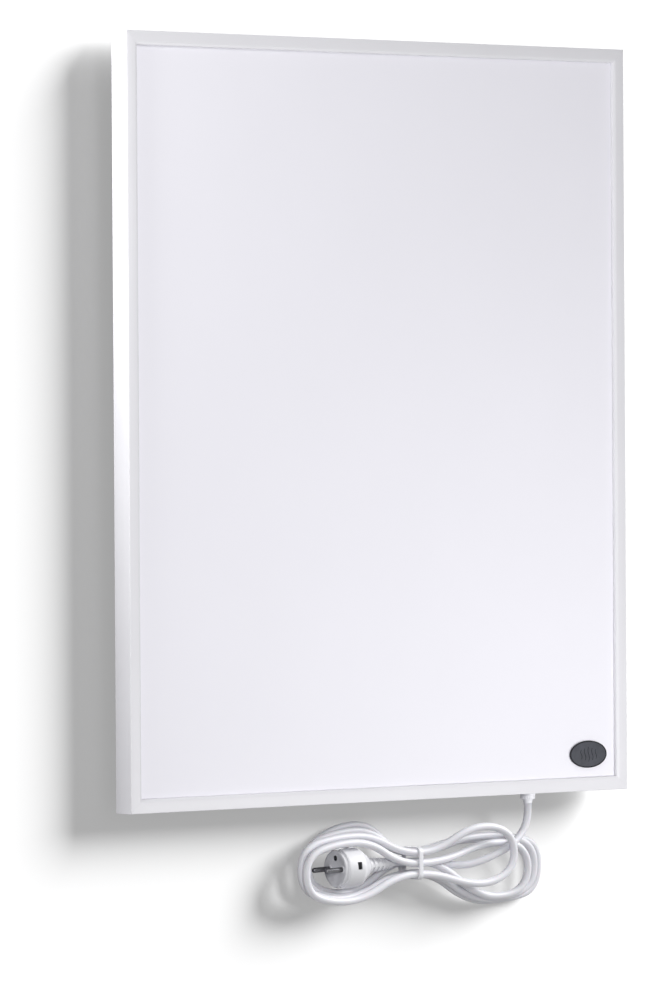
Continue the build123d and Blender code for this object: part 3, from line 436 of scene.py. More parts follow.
def outline(corners, steps=4):
    """A 2-D outline from (x, y, rounding) corners."""
    points = [Vector(corner[:2]) for corner in corners]
    made = []
    for i, (point, corner) in enumerate(zip(points, corners)):
        if corner[2] == 0:
            made.append(point)
            continue
        before, after = points[i - 1] - point, points[(i + 1) % len(points)] - point
        cut = min(corner[2], before.length * 0.49, after.length * 0.49)
        first, last = point + before.normalized() * cut, point + after.normalized() * cut
        for step in range(steps + 1):
            t = step / steps
            made.append(first * (1 - t) ** 2 + point * (2 * t * (1 - t)) + last * t**2)
    return made


def strip(half_width, low, high, rounding):
    """The section of a flat strip."""
    sides = [(-half_width, low), (half_width, low), (half_width, high), (-half_width, high)]
    return outline([(*side, rounding) for side in sides], 2)


def side_axes(way):
    """Two directions square to way, the first one level where it can be."""
    level = UP.cross(way)
    first = level.normalized() if level.length > 1e-6 else RIGHT
    return first, way.cross(first).normalized()


def join_rings(bm, rings, closed=False):
    """Faces between rings of vertices. A ring of one vertex is a tip."""
    pairs = list(zip(rings, rings[1:]))
    if closed:
        pairs.append((rings[-1], rings[0]))
    for pair in pairs:
        count = max(map(len, pair))
        first, second = [ring * (count // len(ring)) for ring in pair]
        for i in range(count):
            j = (i + 1) % count
            corners = (first[i], first[j], second[j], second[i])
            bm.faces.new(list(dict.fromkeys(corners)))


def loft(bm, rings):
    """A solid through rings of vertices, with both ends shut."""
    join_rings(bm, rings)
    bm.faces.new(rings[0])
    bm.faces.new(rings[-1])


def turned(bm, place, way, profile, segments, closed=False, shape=None):
    """A turned shape from (along, radius) pairs. shape(along, angle, radius) may change the radius."""
    first, second = side_axes(way)
    rings = []
    for along, radius in profile:
        centre = place + way * (along * MM)
        if radius < TINY:
            rings.append([bm.verts.new(centre)])
            continue
        ring = []
        for i in range(segments):
            angle = tau * i / segments
            reach = (shape(along, angle, radius) if shape else radius) * MM
            spot = first * (cos(angle) * reach) + second * (sin(angle) * reach)
            ring.append(bm.verts.new(centre + spot))
        rings.append(ring)
    join_rings(bm, rings, closed)


def swept(bm, section, frames, closed=False):
    """A section carried along frames of (place, across, outward)."""
    rings = []
    for place, across, outward in frames:
        spots = [place + (across * point.x + outward * point.y) * MM for point in section]
        rings.append([bm.verts.new(spot) for spot in spots])
    if closed:
        join_rings(bm, rings, closed)
    else:
        loft(bm, rings)


def block(bm, place, axes, size, radius, steps=2):
    """A box with rounded edges, with its middle at place."""
    turn = Matrix(axes).transposed().to_4x4()
    scale = Matrix.Diagonal((*(Vector(size) * MM), 1))
    made = bmesh.ops.create_cube(bm, size=1.0, matrix=Matrix.Translation(place) @ turn @ scale)
    edges = {edge for vert in made["verts"] for edge in vert.link_edges}
    bmesh.ops.bevel(bm, geom=list(edges), offset=radius * MM, segments=steps, profile=0.5, affect="EDGES")


def new_object(name, data):
    made = bpy.data.objects.new(name, data)
    bpy.context.scene.collection.objects.link(made)
    return made


def mesh_object(name, bm):
    """An object with the mesh that bm holds."""
    mesh = bpy.data.meshes.new(name)
    bm.to_mesh(mesh)
    bm.free()
    return new_object(name, mesh)


def finish_piece(name, bm, slot, *replaced):
    """Turns a mesh into a piece of the heater that has its finish."""
    bmesh.ops.remove_doubles(bm, verts=bm.verts, dist=TINY)
    bmesh.ops.recalc_face_normals(bm, faces=bm.faces)
    for face in bm.faces:
        face.smooth = True
    for edge in bm.edges:
        if len(edge.link_faces) == 2 and edge.calc_face_angle() > CREASE:
            edge.smooth = False
    return seat_piece(mesh_object(name, bm), slot, *replaced)


def seat_piece(piece, slot, *replaced):
    """Gives a piece its finish and lets it ride on the heater."""
    piece.data.materials.append(FINISHES[slot])
    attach(piece, "heater")
    if replaced:
        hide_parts(*replaced)
    return piece


def cut_away(piece, shape):
    """Cuts a mesh shape out of a piece, and leaves no modifier."""
    bmesh.ops.recalc_face_normals(shape, faces=shape.faces)
    cutter = mesh_object("cutter", shape)
    modifier = piece.modifiers.new("cut", "BOOLEAN")
    modifier.object = cutter
    modifier.operation = "DIFFERENCE"
    modifier.solver = "EXACT"
    bpy.context.view_layer.update()
    evaluated = piece.evaluated_get(bpy.context.evaluated_depsgraph_get())
    made = bpy.data.meshes.new_from_object(evaluated)
    piece.modifiers.clear()
    piece.data = made
    bpy.data.objects.remove(cutter)


def loose_boxes(node):
    """The lowest and highest corners of each separate solid in a node."""
    bm = bmesh.new()
    bm.from_mesh(NODES[node].data)
    bmesh.ops.remove_doubles(bm, verts=bm.verts, dist=1e-6)
    waiting = set(bm.verts)
    boxes = []
    while waiting:
        group, stack = [], [waiting.pop()]
        while stack:
            vert = stack.pop()
            group.append(vert.co.copy())
            near = {edge.other_vert(vert) for edge in vert.link_edges} & waiting
            waiting -= near
            stack.extend(near)
        boxes.append([Vector([pick(axis) for axis in zip(*group)]) for pick in (min, max)])
    bm.free()
    return sorted(boxes, key=lambda pair: tuple(round(value, 5) for value in pair[0]))


# ---- Stage ----

PHOTO_HEIGHT = 992
FOCAL_PIXELS = 7000.0
SENSOR = 36.0
CAMERA_PLACE = Vector((-4.18470, -4.92983, -0.00158))
CAMERA_YAW, CAMERA_PITCH, CAMERA_ROLL = 0.698795, 0.010437, 0.005979
WALL_REACH = 2.5
WALL_Y = 0.0006
AIM = Vector((0, -0.03, 0))
SUN_WAY = Vector((1.72, -1.0, 1.08))
SUN_ANGLE = radians(34)
WALL_ONLY = "Wall only"
NO_WALL = "All but the wall"
HANK_ONLY = "Hank only"
NO_HANK = "All but the wall and the hank"
# Name, place, diameter and what it lights
LAMPS = [
    ("Side lamp", (-0.78, -0.06, 0.3), 0.16, NO_WALL),
    ("High lamp", (-0.65, -0.7, 0.75), 0.25, NO_WALL),
    ("Right lamp", (0.45, -0.9, -0.5), 0.4, NO_HANK),
    ("Front lamp", (-1.6, -2.6, 0.2), 0.6, NO_WALL),
    ("Back lamp", (1.9, 2.3, 0.1), 1.8, NO_WALL),
]
SUNS = [("Wall lamp", WALL_ONLY), ("Hank lamp", HANK_ONLY)]


def set_camera(scene):
    level = cos(CAMERA_PITCH)
    forward = Vector((sin(CAMERA_YAW) * level, cos(CAMERA_YAW) * level, -sin(CAMERA_PITCH)))
    right = Vector((cos(CAMERA_YAW), -sin(CAMERA_YAW), 0))
    down = forward.cross(right)
    image_x = right * cos(CAMERA_ROLL) + down * sin(CAMERA_ROLL)
    image_y = right * sin(CAMERA_ROLL) - down * cos(CAMERA_ROLL)
    data = bpy.data.cameras.new("Photo camera")
    data.sensor_width = SENSOR
    data.lens = FOCAL_PIXELS * SENSOR / PHOTO_HEIGHT
    data.clip_end = 50.0
    scene.camera = new_object("Photo camera", data)
    turn = Matrix((image_x, image_y, -forward)).transposed().to_4x4()
    scene.camera.matrix_world = Matrix.Translation(CAMERA_PLACE) @ turn


def hang_wall(scene):
    """A pale wall that is seen from the room only."""
    bm = bmesh.new()
    bm.faces.new([bm.verts.new((x * WALL_REACH, WALL_Y, z * WALL_REACH)) for x, z in SQUARE])
    wall = mesh_object("Wall", bm)
    paint = Paint("Pale wall")
    paint.colours(paint.noise(0.4, 3), [(0.3, (0.257, 0.257, 0.258)), (0.7, (0.26, 0.26, 0.261))])
    seen = paint.add("ShaderNodeLightPath", {}, "Is Camera Ray")
    glow = paint.span(seen, 0.0, scene.heater_stage.wall_glow)
    paint.link(glow, paint.shader.inputs["Emission Strength"])
    sides = {
        "Fac": paint.add("ShaderNodeNewGeometry", {}, "Backfacing"),
        1: paint.shader.outputs["BSDF"],
        2: paint.add("ShaderNodeBsdfTransparent", {}, "BSDF"),
    }
    mix = paint.add("ShaderNodeMixShader", sides, "Shader")
    paint.link(mix, paint.nodes["Material Output"].inputs["Surface"])
    white = (1, 1, 1, 1)
    wall.data.materials.append(paint.done(Roughness=0.95, Specular_IOR_Level=0.1, Emission_Color=white))
    return wall


def light_room(scene):
    """Soft light from all round, and white where the camera, a gloss or a clear piece looks."""
    world = bpy.data.worlds.new("Room")
    world.use_nodes = True
    scene.world = world
    tree = Nodes(world.node_tree)
    rays = tree.nodes.new("ShaderNodeLightPath").outputs
    seen = rays["Is Camera Ray"]
    for ray in ("Is Glossy Ray", "Is Transmission Ray"):
        seen = tree.add("ShaderNodeMath", {0: seen, 1: rays[ray]}, "Value", operation="MAXIMUM")
    sockets = tree.nodes["Background"].inputs
    tree.link(tree.span(seen, scene.heater_stage.ambient, 1.0), sockets["Strength"])
    sockets["Color"].default_value = (1, 1, 1, 1)


def hang_lamps(scene, wall):
    """Area lamps that the wall neither gets nor blocks, and suns for the wall and the hank."""
    names = (WALL_ONLY, NO_WALL, HANK_ONLY, NO_HANK)
    groups = {name: bpy.data.collections.new(name) for name in names}
    for name in (WALL_ONLY, NO_WALL, NO_HANK):
        groups[name].objects.link(wall)
    groups[NO_WALL].collection_objects[0].light_linking.link_state = "EXCLUDE"
    for name, place, size, group in LAMPS:
        lamp = hang_lamp(scene, name, "AREA", Vector(place) - AIM, groups[group])
        lamp.data.shape = "DISK"
        lamp.data.size = size
        lamp.matrix_world = Matrix.Translation(place) @ lamp.matrix_world
        lamp.light_linking.blocker_collection = groups[NO_WALL]
    for name, group in SUNS:
        hang_lamp(scene, name, "SUN", SUN_WAY, groups[group]).data.angle = SUN_ANGLE


def hang_lamp(scene, name, kind, way, receivers):
    """A lamp that shines against way, on its receivers only."""
    data = bpy.data.lights.new(name, kind)
    data.energy = getattr(scene.heater_stage, name.lower().replace(" ", "_"))
    lamp = new_object(name, data)
    lamp.matrix_world = way.to_track_quat("Z", "Y").to_matrix().to_4x4()
    lamp.light_linking.receiver_collection = receivers
    return lamp


class HEATER_OT_stage(bpy.types.Operator):
    """Set up the camera, the wall, the lamps and the room light"""

    bl_idname = "heater.stage"
    bl_label = "Stage"

    def execute(self, context):
        scene = context.scene
        scene.view_settings.view_transform = "Standard"
        set_camera(scene)
        wall = hang_wall(scene)
        light_room(scene)
        hang_lamps(scene, wall)
        return {"FINISHED"}


# ---- Cord ----

BOOT_END = Vector((184.8, -25.5, -359.5))
# Control points of the free cord, from the boot's end
FREE_STEPS = [
    (0.0, 0.0, -11.8), (-5.4, -0.9, -23.9), (-15.4, -2.6, -32.3), (-26.0, -4.2, -38.4),
    (-38.6, -4.4, -43.6), (-54.6, -2.4, -49.8), (-75.4, 3.0, -55.4), (-97.0, 9.8, -53.1),
]
WAIST = Vector((45.0, -21.5, -409.5))
HANK_LEAD_IN = 6.0
LAST_FREE_RUN = 15.0
PLUG_LEAD_IN = 14.0
REAR_LAYER_Y = -6.0
PLUG_END = Vector((19.6, -21.1, -408.4))
PLUG_TURN = radians(2.0)
PLUG_DIP = radians(2.5)
PLUG_WAY = Vector((-cos(PLUG_TURN), sin(PLUG_TURN), -tan(PLUG_DIP))).normalized()
# Places in the tied bundle, loop by loop, as (towards the wall, up)
BOTTOM_SLOTS = [(1, 0), (1, -1), (0, -1), (-1, -1)]
TOP_SLOTS = [(1, 1), (0, 1), (-1, 1), (-1, 0)]
# Layers of the right lobes, loop by loop. The free cord lies between layers 2 and 4
RIGHT_LAYERS = [0, 1, 4, 2]
# Where each loop passes, as (right, up): at the bottom, end and top of its left lobe,
# then at the top, end and bottom of its right lobe
LOOPS = [
    [(-29.5, -434.6), (-68.7, -409.3), (-11.3, -372.7), (127.5, -391.8), (213.9, -422.2), (155.6, -449.9)],
    [(-28.0, -437.6), (-78.3, -409.2), (-18.1, -377.4), (142.2, -388.4), (202.3, -419.4), (153.2, -447.6)],
    [(-45.0, -438.4), (-89.3, -412.4), (-24.9, -381.8), (124.0, -378.3), (156.8, -403.0), (117.5, -431.0)],
    [(-47.5, -440.6), (-89.5, -415.8), (-34.5, -387.2), (159.7, -395.0), (187.7, -419.7), (158.1, -445.1)],
]
LOOP_WAYS = (LEFT, UP, RIGHT, RIGHT, DOWN, LEFT)


def hank_stations(settings):
    """Where the loops pass, with the direction there."""
    column, row = settings.waist_column / MM, settings.waist_row / MM
    pitch = settings.layer_pitch / MM

    def slot(place):
        return WAIST + TO_WALL * (place[0] * column) + UP * (place[1] * row)

    stations = []
    for loop, (places, low, high) in enumerate(zip(LOOPS, BOTTOM_SLOTS, TOP_SLOTS)):
        layers = [loop] * 3 + [RIGHT_LAYERS[loop]] * 3
        spots = [Vector((x, REAR_LAYER_Y - pitch * layer, z)) for (x, z), layer in zip(places, layers)]
        lobes = list(zip(spots, LOOP_WAYS))
        stations += [(slot(low), LEFT), *lobes[:3], (slot(high), RIGHT), *lobes[3:]]
    stations.append((slot((0, 0)), LEFT))
    return stations


def turn_points(start, start_way, end, end_way):
    """Two control points that carry the cord smoothly from one station to the next."""
    gap = end - start
    bend = 2 * (1 - start_way.dot(end_way))
    along = gap.dot(start_way + end_way)
    reach = gap.dot(gap) / (sqrt(along**2 + bend * gap.dot(gap)) + along)
    return [start + start_way * reach, end - end_way * reach]


class HEATER_OT_cord(bpy.types.Operator):
    """Lay the mains cord from the gland through its hank to the plug"""

    bl_idname = "heater.cord"
    bl_label = "Mains cord"

    def execute(self, context):
        settings = context.scene.heater_cord
        hank_start = WAIST + RIGHT * HANK_LEAD_IN + TO_WALL * (settings.waist_column / MM)
        points = [BOOT_END] + [BOOT_END + Vector(step) for step in FREE_STEPS]
        points += [hank_start + RIGHT * LAST_FREE_RUN, hank_start]
        stations = hank_stations(settings)
        for (start, start_way), (end, end_way) in zip(stations, stations[1:]):
            points += turn_points(start, start_way, end, end_way)
        points += [PLUG_END - PLUG_WAY * PLUG_LEAD_IN, PLUG_END]
        curve = bpy.data.curves.new("mains_cord", "CURVE")
        curve.dimensions = "3D"
        curve.bevel_depth = settings.diameter / 2
        curve.bevel_resolution = 6
        curve.resolution_u = 8
        curve.use_fill_caps = True
        line = curve.splines.new("NURBS")
        line.points.add(len(points) - 1)
        for point, place in zip(line.points, points):
            point.co = (*(place * MM), 1)
        line.order_u = 3
        line.use_endpoint_u = True
        seat_piece(new_object("mains_cord", curve), "cord_jacket", "cord_lead", "cord_hank")
        return {"FINISHED"}


TIE_WIDTH, TIE_THICKNESS, TIE_PLAY = 4.8, 1.2, 0.3
RIDGE_PITCH = 0.6 * MM
CORNER_STEPS = 12
HEAD_SIZE = Vector((6.0, 4.5, 6.0))
TAIL_LENGTH = 4.0
TAIL_STEPS = 8


def wrap_band(settings, inner):
    """The band, with its fine ridges, round the bundle's corners."""
    spots = []
    for corner, (column, row) in enumerate(SQUARE):
        shift = TO_WALL * (column * settings.waist_column) + UP * (row * settings.waist_row)
        for step in range(CORNER_STEPS + 1):
            angle = pi / 2 * (corner + 2 + step / CORNER_STEPS)
            outward = TO_WALL * cos(angle) + UP * sin(angle)
            spots.append((WAIST * MM + shift + outward * inner, outward))
    frames = []
    for (place, outward), (after, next_way) in zip(spots, spots[1:] + spots[:1]):
        runs = max(1, round((after - place).length / RIDGE_PITCH))
        for step in range(runs):
            share = step / runs
            ridge = 0.9 + 0.1 * (len(frames) % 2)
            way = outward.lerp(next_way, share).normalized() * ridge
            frames.append((place.lerp(after, share), RIGHT, way))
    bm = bmesh.new()
    swept(bm, strip(TIE_WIDTH / 2, 0, TIE_THICKNESS, TIE_THICKNESS * 0.4), frames, closed=True)
    finish_piece("cable_tie_band", bm, "white_nylon", "cable_tie")


def add_head(settings, inner):
    """The head and the short tail, on the bundle's wall side."""
    behind = settings.waist_column + inner + (TIE_THICKNESS + HEAD_SIZE.y) / 2 * MM
    place = WAIST * MM + TO_WALL * behind + DOWN * (settings.waist_row / 2)
    bm = bmesh.new()
    block(bm, place, (RIGHT, TO_WALL, UP), HEAD_SIZE, 0.6, 3)
    tail = []
    for step in range(TAIL_STEPS + 1):
        t = step / TAIL_STEPS
        drop = HEAD_SIZE.z / 2 - 0.4 + TAIL_LENGTH * t
        tail.append((place + (DOWN * drop + TO_WALL * (0.3 * sin(2.6 * t))) * MM, RIGHT, TO_ROOM))
    swept(bm, strip(2.1, -0.45, 0.45, 0.2), tail)
    finish_piece("cable_tie_head", bm, "white_nylon")


class HEATER_OT_cable_tie(bpy.types.Operator):
    """Close the cable tie round the waist of the hank"""

    bl_idname = "heater.cable_tie"
    bl_label = "Cable tie"

    def execute(self, context):
        settings = context.scene.heater_cord
        inner = settings.diameter / 2 + TIE_PLAY * MM
        wrap_band(settings, inner)
        add_head(settings, inner)
        return {"FINISHED"}


# ---- Plug ----


class PlugAxes:
    """Where the plug lies, and its main sizes."""

    def __init__(self, settings, cord):
        self.place, self.way = PLUG_END * MM, PLUG_WAY
        self.level, self.up = side_axes(self.way)
        self.relief = settings.relief_length / MM
        self.radius = settings.diameter / 2 / MM
        self.grip_end = self.relief + 31.0
        self.bore = cord.diameter / 2 / MM + 0.1
        self.ribs = settings.ribs
        self.pin_offset, self.earth_offset = 9.5, 10.0

    def at(self, along=0.0, level=0.0, up=0.0):
        return self.place + (self.way * along + self.level * level + self.up * up) * MM

    def turn(self, bm, place, profile, segments, closed=False):
        turned(bm, place, self.way, profile, segments, closed)


def mould_shell(plug):
    """The grip: a short taper, a shoulder, and a drum with a soft front rim."""
    relief, radius, end = plug.relief, plug.radius, plug.grip_end
    corners = [
        (relief - 1.0, plug.bore, 0), (relief - 1.0, 7.6, 0.5), (relief + 0.4, 10.9, 0.8),
        (relief + 2.4, 11.8, 1.2), (relief + 9.6, radius - 1.4, 2.2), (relief + 12.5, radius, 2.6),
        (end, radius, 1.6), (end, plug.bore, 0),
    ]
    bm = bmesh.new()
    plug.turn(bm, plug.place, outline(corners, 5), 72, closed=True)
    return finish_piece("plug_shell", bm, "plug_shell", "plug_body")


def cut_recesses(plug, shell):
    """The clip recesses above and below, and a slot in the near side whose bottom holds a black block of
    painted shade.
    """
    axes = (plug.way, plug.level, plug.up)
    clip, shaded_slot, radius = plug.grip_end - 6.2, plug.relief + 18.9, plug.radius
    for middle, size, rounding in (
        (plug.at(clip, up=radius), (13.0, 8.0, 3.6), 0.5),
        (plug.at(clip, up=-radius), (13.0, 8.0, 3.6), 0.5),
        (plug.at(shaded_slot, radius, 2.6), (5.0, 4.0, 7.0), 0.4),
    ):
        shape = bmesh.new()
        block(shape, middle, axes, size, rounding)
        cut_away(shell, shape)
    bm = bmesh.new()
    # A black block at the bottom of the slot: painted shade that makes the slot look deep and dark
    block(bm, plug.at(shaded_slot, radius - 1.8, 2.6), axes, (4.6, 1.6, 6.6), 0.3)
    return finish_piece("plug_window", bm, "cutout_case")


def mould_relief(plug):
    """Ribs on a thin core, joined by four webs, so the gaps show as rows of slots."""
    bore, relief = plug.bore, plug.relief
    start, end, web = 4.7, 8.0, 1.3
    bm = bmesh.new()
    core = [(0.0, bore), (0.0, bore + 0.6), (relief, end - 2.0), (relief, bore)]
    plug.turn(bm, plug.place, core, 40, closed=True)
    step = relief / plug.ribs
    foot = bore + 0.1
    for rib in range(plug.ribs):
        outer = start + (end - start) * rib / plug.ribs
        low, high = rib * step, (rib + 0.56) * step
        corners = [(low, foot, 0), (low, outer, 0.5), (high, outer + 0.3, 0.5), (high, foot, 0)]
        plug.turn(bm, plug.place, outline(corners, 3), 40, closed=True)
    for direction in (plug.level, -plug.level, plug.up, -plug.up):
        side = direction.cross(plug.way).normalized()
        rings = []
        for along, reach in ((0.2, start - 0.25), (relief, end - 0.4)):
            spots = ((foot, -web), (foot, web), (reach, web), (reach, -web))
            rings.append([bm.verts.new(plug.at(along) + (direction * a + side * b) * MM) for a, b in spots])
        loft(bm, rings)
    return finish_piece("plug_relief", bm, "plug_shell")


def mould_face(plug):
    """The face with its pin collars and earth hole, and the earth contact."""
    base, radius = plug.grip_end, 16.9
    top = base + 3.0
    corners = [
        (base - 1.0, 0, 0), (base - 1.0, radius, 0), (top, radius, 0.7),
        (top, radius - 2.2, 0.3), (top - 0.5, radius - 3.0, 0), (top - 0.5, 0, 0),
    ]
    bm = bmesh.new()
    plug.turn(bm, plug.place, outline(corners), 64)
    for side in (-1, 1):
        collar = [(base, 3.7), (top - 0.1, 3.6), (top, 3.3), (top, 0.0)]
        plug.turn(bm, plug.at(level=side * plug.pin_offset), collar, 28)
    face = finish_piece("plug_front", bm, "plug_shell", "plug_face")
    earth = plug.at(up=plug.earth_offset)
    hole = [(0.6, 0.0), (0.6, 2.7), (5, 2.7), (5, 0.0)]
    shape = bmesh.new()
    plug.turn(shape, earth, [(base + along, reach) for along, reach in hole], 28)
    cut_away(face, shape)
    contact = [(0.7, 2.65), (2.2, 2.65), (2.2, 2.2), (0.9, 2.2), (0.8, 0.0)]
    bm = bmesh.new()
    plug.turn(bm, earth, [(base + along, reach) for along, reach in contact], 28)
    return face, finish_piece("plug_earth_contact", bm, "pin_metal")


def turn_pins(plug):
    bm = bmesh.new()
    start, tip, radius = plug.grip_end + 1.0, plug.grip_end + 22.0, 2.4
    point = [(tip - 1.8, radius), (tip - 0.9, 2.2), (tip - 0.25, 1.6), (tip, 0.7), (tip, 0.0)]
    for side in (-1, 1):
        plug.turn(bm, plug.at(level=side * plug.pin_offset), [(start, radius), *point], 32)
    return finish_piece("plug_pin_pair", bm, "pin_metal", "plug_pins")


def bend_clips(plug):
    """Sprung earth clips, slightly bowed, in their recesses."""
    bm = bmesh.new()
    steps = 12
    for side in (1, -1):
        frames = []
        for step in range(steps + 1):
            t = step / steps
            along = plug.grip_end - 11.9 + 14.4 * t
            depth = plug.radius - 1.4 + 0.45 * sin(pi * t) - 0.4 * t**4
            frames.append((plug.at(along, up=side * depth), plug.level, plug.up * side))
        swept(bm, strip(3.0, -0.4, 0.4, 0.2), frames)
    return finish_piece("plug_clip_pair", bm, "screw_steel", "plug_earth_clips")


class HEATER_OT_plug(bpy.types.Operator):
    """Mould the mains plug on the cord's end"""

    bl_idname = "heater.plug"
    bl_label = "Mains plug"

    def execute(self, context):
        cord = context.scene.heater_cord
        plug = PlugAxes(context.scene.heater_plug, cord)
        shell = mould_shell(plug)
        pieces = [shell, cut_recesses(plug, shell), mould_relief(plug), *mould_face(plug)]
        pieces += [turn_pins(plug), bend_clips(plug)]
        pieces += [bpy.data.objects[name] for name in ("cable_tie_band", "cable_tie_head")]
        return {"FINISHED"}


class HEATER_OT_hank_light(bpy.types.Operator):
    """Light the cord and plug from the upper right, as their shadow falls"""

    bl_idname = "heater.hank_light"
    bl_label = "Hank light"

    def execute(self, context):
        lit, unlit = bpy.data.collections[HANK_ONLY], bpy.data.collections[NO_HANK]
        for piece in context.scene.objects:
            if piece.name.startswith(("mains_cord", "cable_tie_", "plug_")):
                lit.objects.link(piece)
                unlit.objects.link(piece)
        for entry in unlit.collection_objects:
            entry.light_linking.link_state = "EXCLUDE"
        return {"FINISHED"}


# ---- Surround and badge ----


RAIL_WALL, RAIL_SLOT, RAIL_RIB = 1.4, 2.4, 1.2
RIB_REACH, FLANGE_REACH = 6.0, 10.0
COVER_INSET = 0.8
LIP_SLOPE, SLOPE_DEPTH, SLOPE_END = 2.9, 1.1, 0.5
MITRE_GAP = 0.04 * MM


def rail_section(settings, depth):
    """Half of a rail's hollow box, from the outer front edge: x runs inwards, y to the wall."""
    wall, small = RAIL_WALL, 0.25
    lip, recess = settings.lip_width / MM, settings.recess / MM
    cover_depth = depth - COVER_INSET
    flange_depth = cover_depth - wall
    rib_depth = wall + RAIL_SLOT
    corners = [
        (0, 0, settings.edge_radius / MM), (lip - LIP_SLOPE, 0, 0.8), (lip - SLOPE_END, SLOPE_DEPTH, 0.3),
        (lip, recess, small), (lip - wall, recess, small), (lip - wall, wall, small),
        (wall, wall, small), (wall, rib_depth, small), (RIB_REACH, rib_depth, small),
        (RIB_REACH, rib_depth + RAIL_RIB, small), (wall, rib_depth + RAIL_RIB, small),
        (wall, flange_depth, small), (FLANGE_REACH, flange_depth, small),
        (FLANGE_REACH, cover_depth, small), (wall, cover_depth, small), (wall, depth, 0.4), (0, depth, 0.4),
    ]
    return outline(corners)


class HEATER_OT_surround(bpy.types.Operator):
    """Build the four mitred rails with their rounded edges"""

    bl_idname = "heater.surround"
    bl_label = "Surround"

    def execute(self, context):
        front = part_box("frame_bottom")[0].y
        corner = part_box("frame_top")[1]
        section = rail_section(context.scene.heater_surround, (corner.y - front) / MM)
        for name, inward in (("top", DOWN), ("bottom", UP), ("left", RIGHT), ("right", LEFT)):
            along = inward.cross(TO_WALL)
            middle = TO_WALL * front - inward * abs(corner.dot(inward))
            half = abs(corner.dot(along))
            rings = []
            bm = bmesh.new()
            for end in (-1, 1):
                ring = []
                for point in section:
                    reach = half - point.x * MM - MITRE_GAP
                    shift = (inward * point.x + TO_WALL * point.y) * MM
                    ring.append(bm.verts.new(middle + shift + along * (end * reach)))
                rings.append(ring)
            loft(bm, rings)
            finish_piece(f"rail_{name}", bm, "frame_paint", f"frame_{name}")
        return {"FINISHED"}


# Rows of (inset from the edge, depth behind the front)
BADGE_RIM = [(0.0, 0.7), (0.0, 0.3), (0.12, 0.1), (0.4, 0.0), (0.8, 0.05), (1.1, 0.35), (1.1, 0.7)]
BADGE_BORDER = [(0.06, 0.6), (1.0, 0.6), (1.15, 0.42), (1.8, 0.42)]
BADGE_SEGMENTS = 96
WAVE_STEPS = 24


class HEATER_OT_badge(bpy.types.Operator):
    """Cast the oval badge with its rim and a plain pattern of heat waves"""

    bl_idname = "heater.badge"
    bl_label = "Badge"

    def execute(self, context):
        dome = context.scene.heater_badge.dome
        low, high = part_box("badge")
        centre, half = (low + high) / 2, (high - low) / 2
        front, thickness = low.y, (high.y - low.y) / MM

        def oval(half_width, half_height, y):
            ring = []
            for i in range(BADGE_SEGMENTS):
                angle = tau * i / BADGE_SEGMENTS
                spot = (centre.x + half_width * cos(angle), y, centre.z + half_height * sin(angle))
                ring.append(bm.verts.new(spot))
            return ring

        def row(inset, depth):
            return oval(half.x - inset * MM, half.z - inset * MM, front + depth * MM)

        bm = bmesh.new()
        join_rings(bm, [row(*place) for place in BADGE_RIM], closed=True)
        finish_piece("badge_rim", bm, "cutout_case")

        bm = bmesh.new()
        inset, depth = BADGE_BORDER[-1]
        width, height, floor = half.x - inset * MM, half.z - inset * MM, front + depth * MM
        rings = [row(*place) for place in [(BADGE_BORDER[0][0], thickness), *BADGE_BORDER]]
        for share in (0.85, 0.65, 0.45, 0.25, 0.1):
            rings.append(oval(width * share, height * share, floor - dome * (1 - share**2)))
        rings.append([bm.verts.new((centre.x, floor - dome, centre.z))])
        join_rings(bm, rings)
        bm.faces.new(rings[0])
        finish_piece("badge_plate", bm, "badge_face", "badge")

        bm = bmesh.new()
        section = outline([(-0.45, -0.25, 0.1), (0.45, -0.25, 0.1), (0.3, 0.12, 0.1), (-0.3, 0.12, 0.1)], 2)
        for column in (-2, -1, 0, 1, 2):
            wave = (8.6 - 1.5 * abs(column)) * 1.6
            frames = []
            for step in range(WAVE_STEPS + 1):
                t = step / WAVE_STEPS
                x = (column * 4.6 + 0.9 * sin(tau * t)) * MM
                z = wave * (t - 0.5) * MM
                y = floor - dome * (1 - (x / width) ** 2 - (z / height) ** 2)
                frames.append((Vector((centre.x + x, y, centre.z + z)), RIGHT, TO_ROOM))
            swept(bm, section, frames)
        finish_piece("badge_waves", bm, "cutout_case")
        return {"FINISHED"}


# ---- Gland and back ----


GLAND_BORE, THREAD_RADIUS = 4.9, 6.0
BOOT_BORE, BOOT_RADIUS = 3.7, 4.8
FLUTES, FLUTE_DEPTH = 18, 0.45


def turn_piece(name, axis, profile, slot, node, shape=None):
    bm = bmesh.new()
    turned(bm, axis, DOWN, profile, 144 if shape else 64, closed=True, shape=shape)
    finish_piece(name, bm, slot, node)


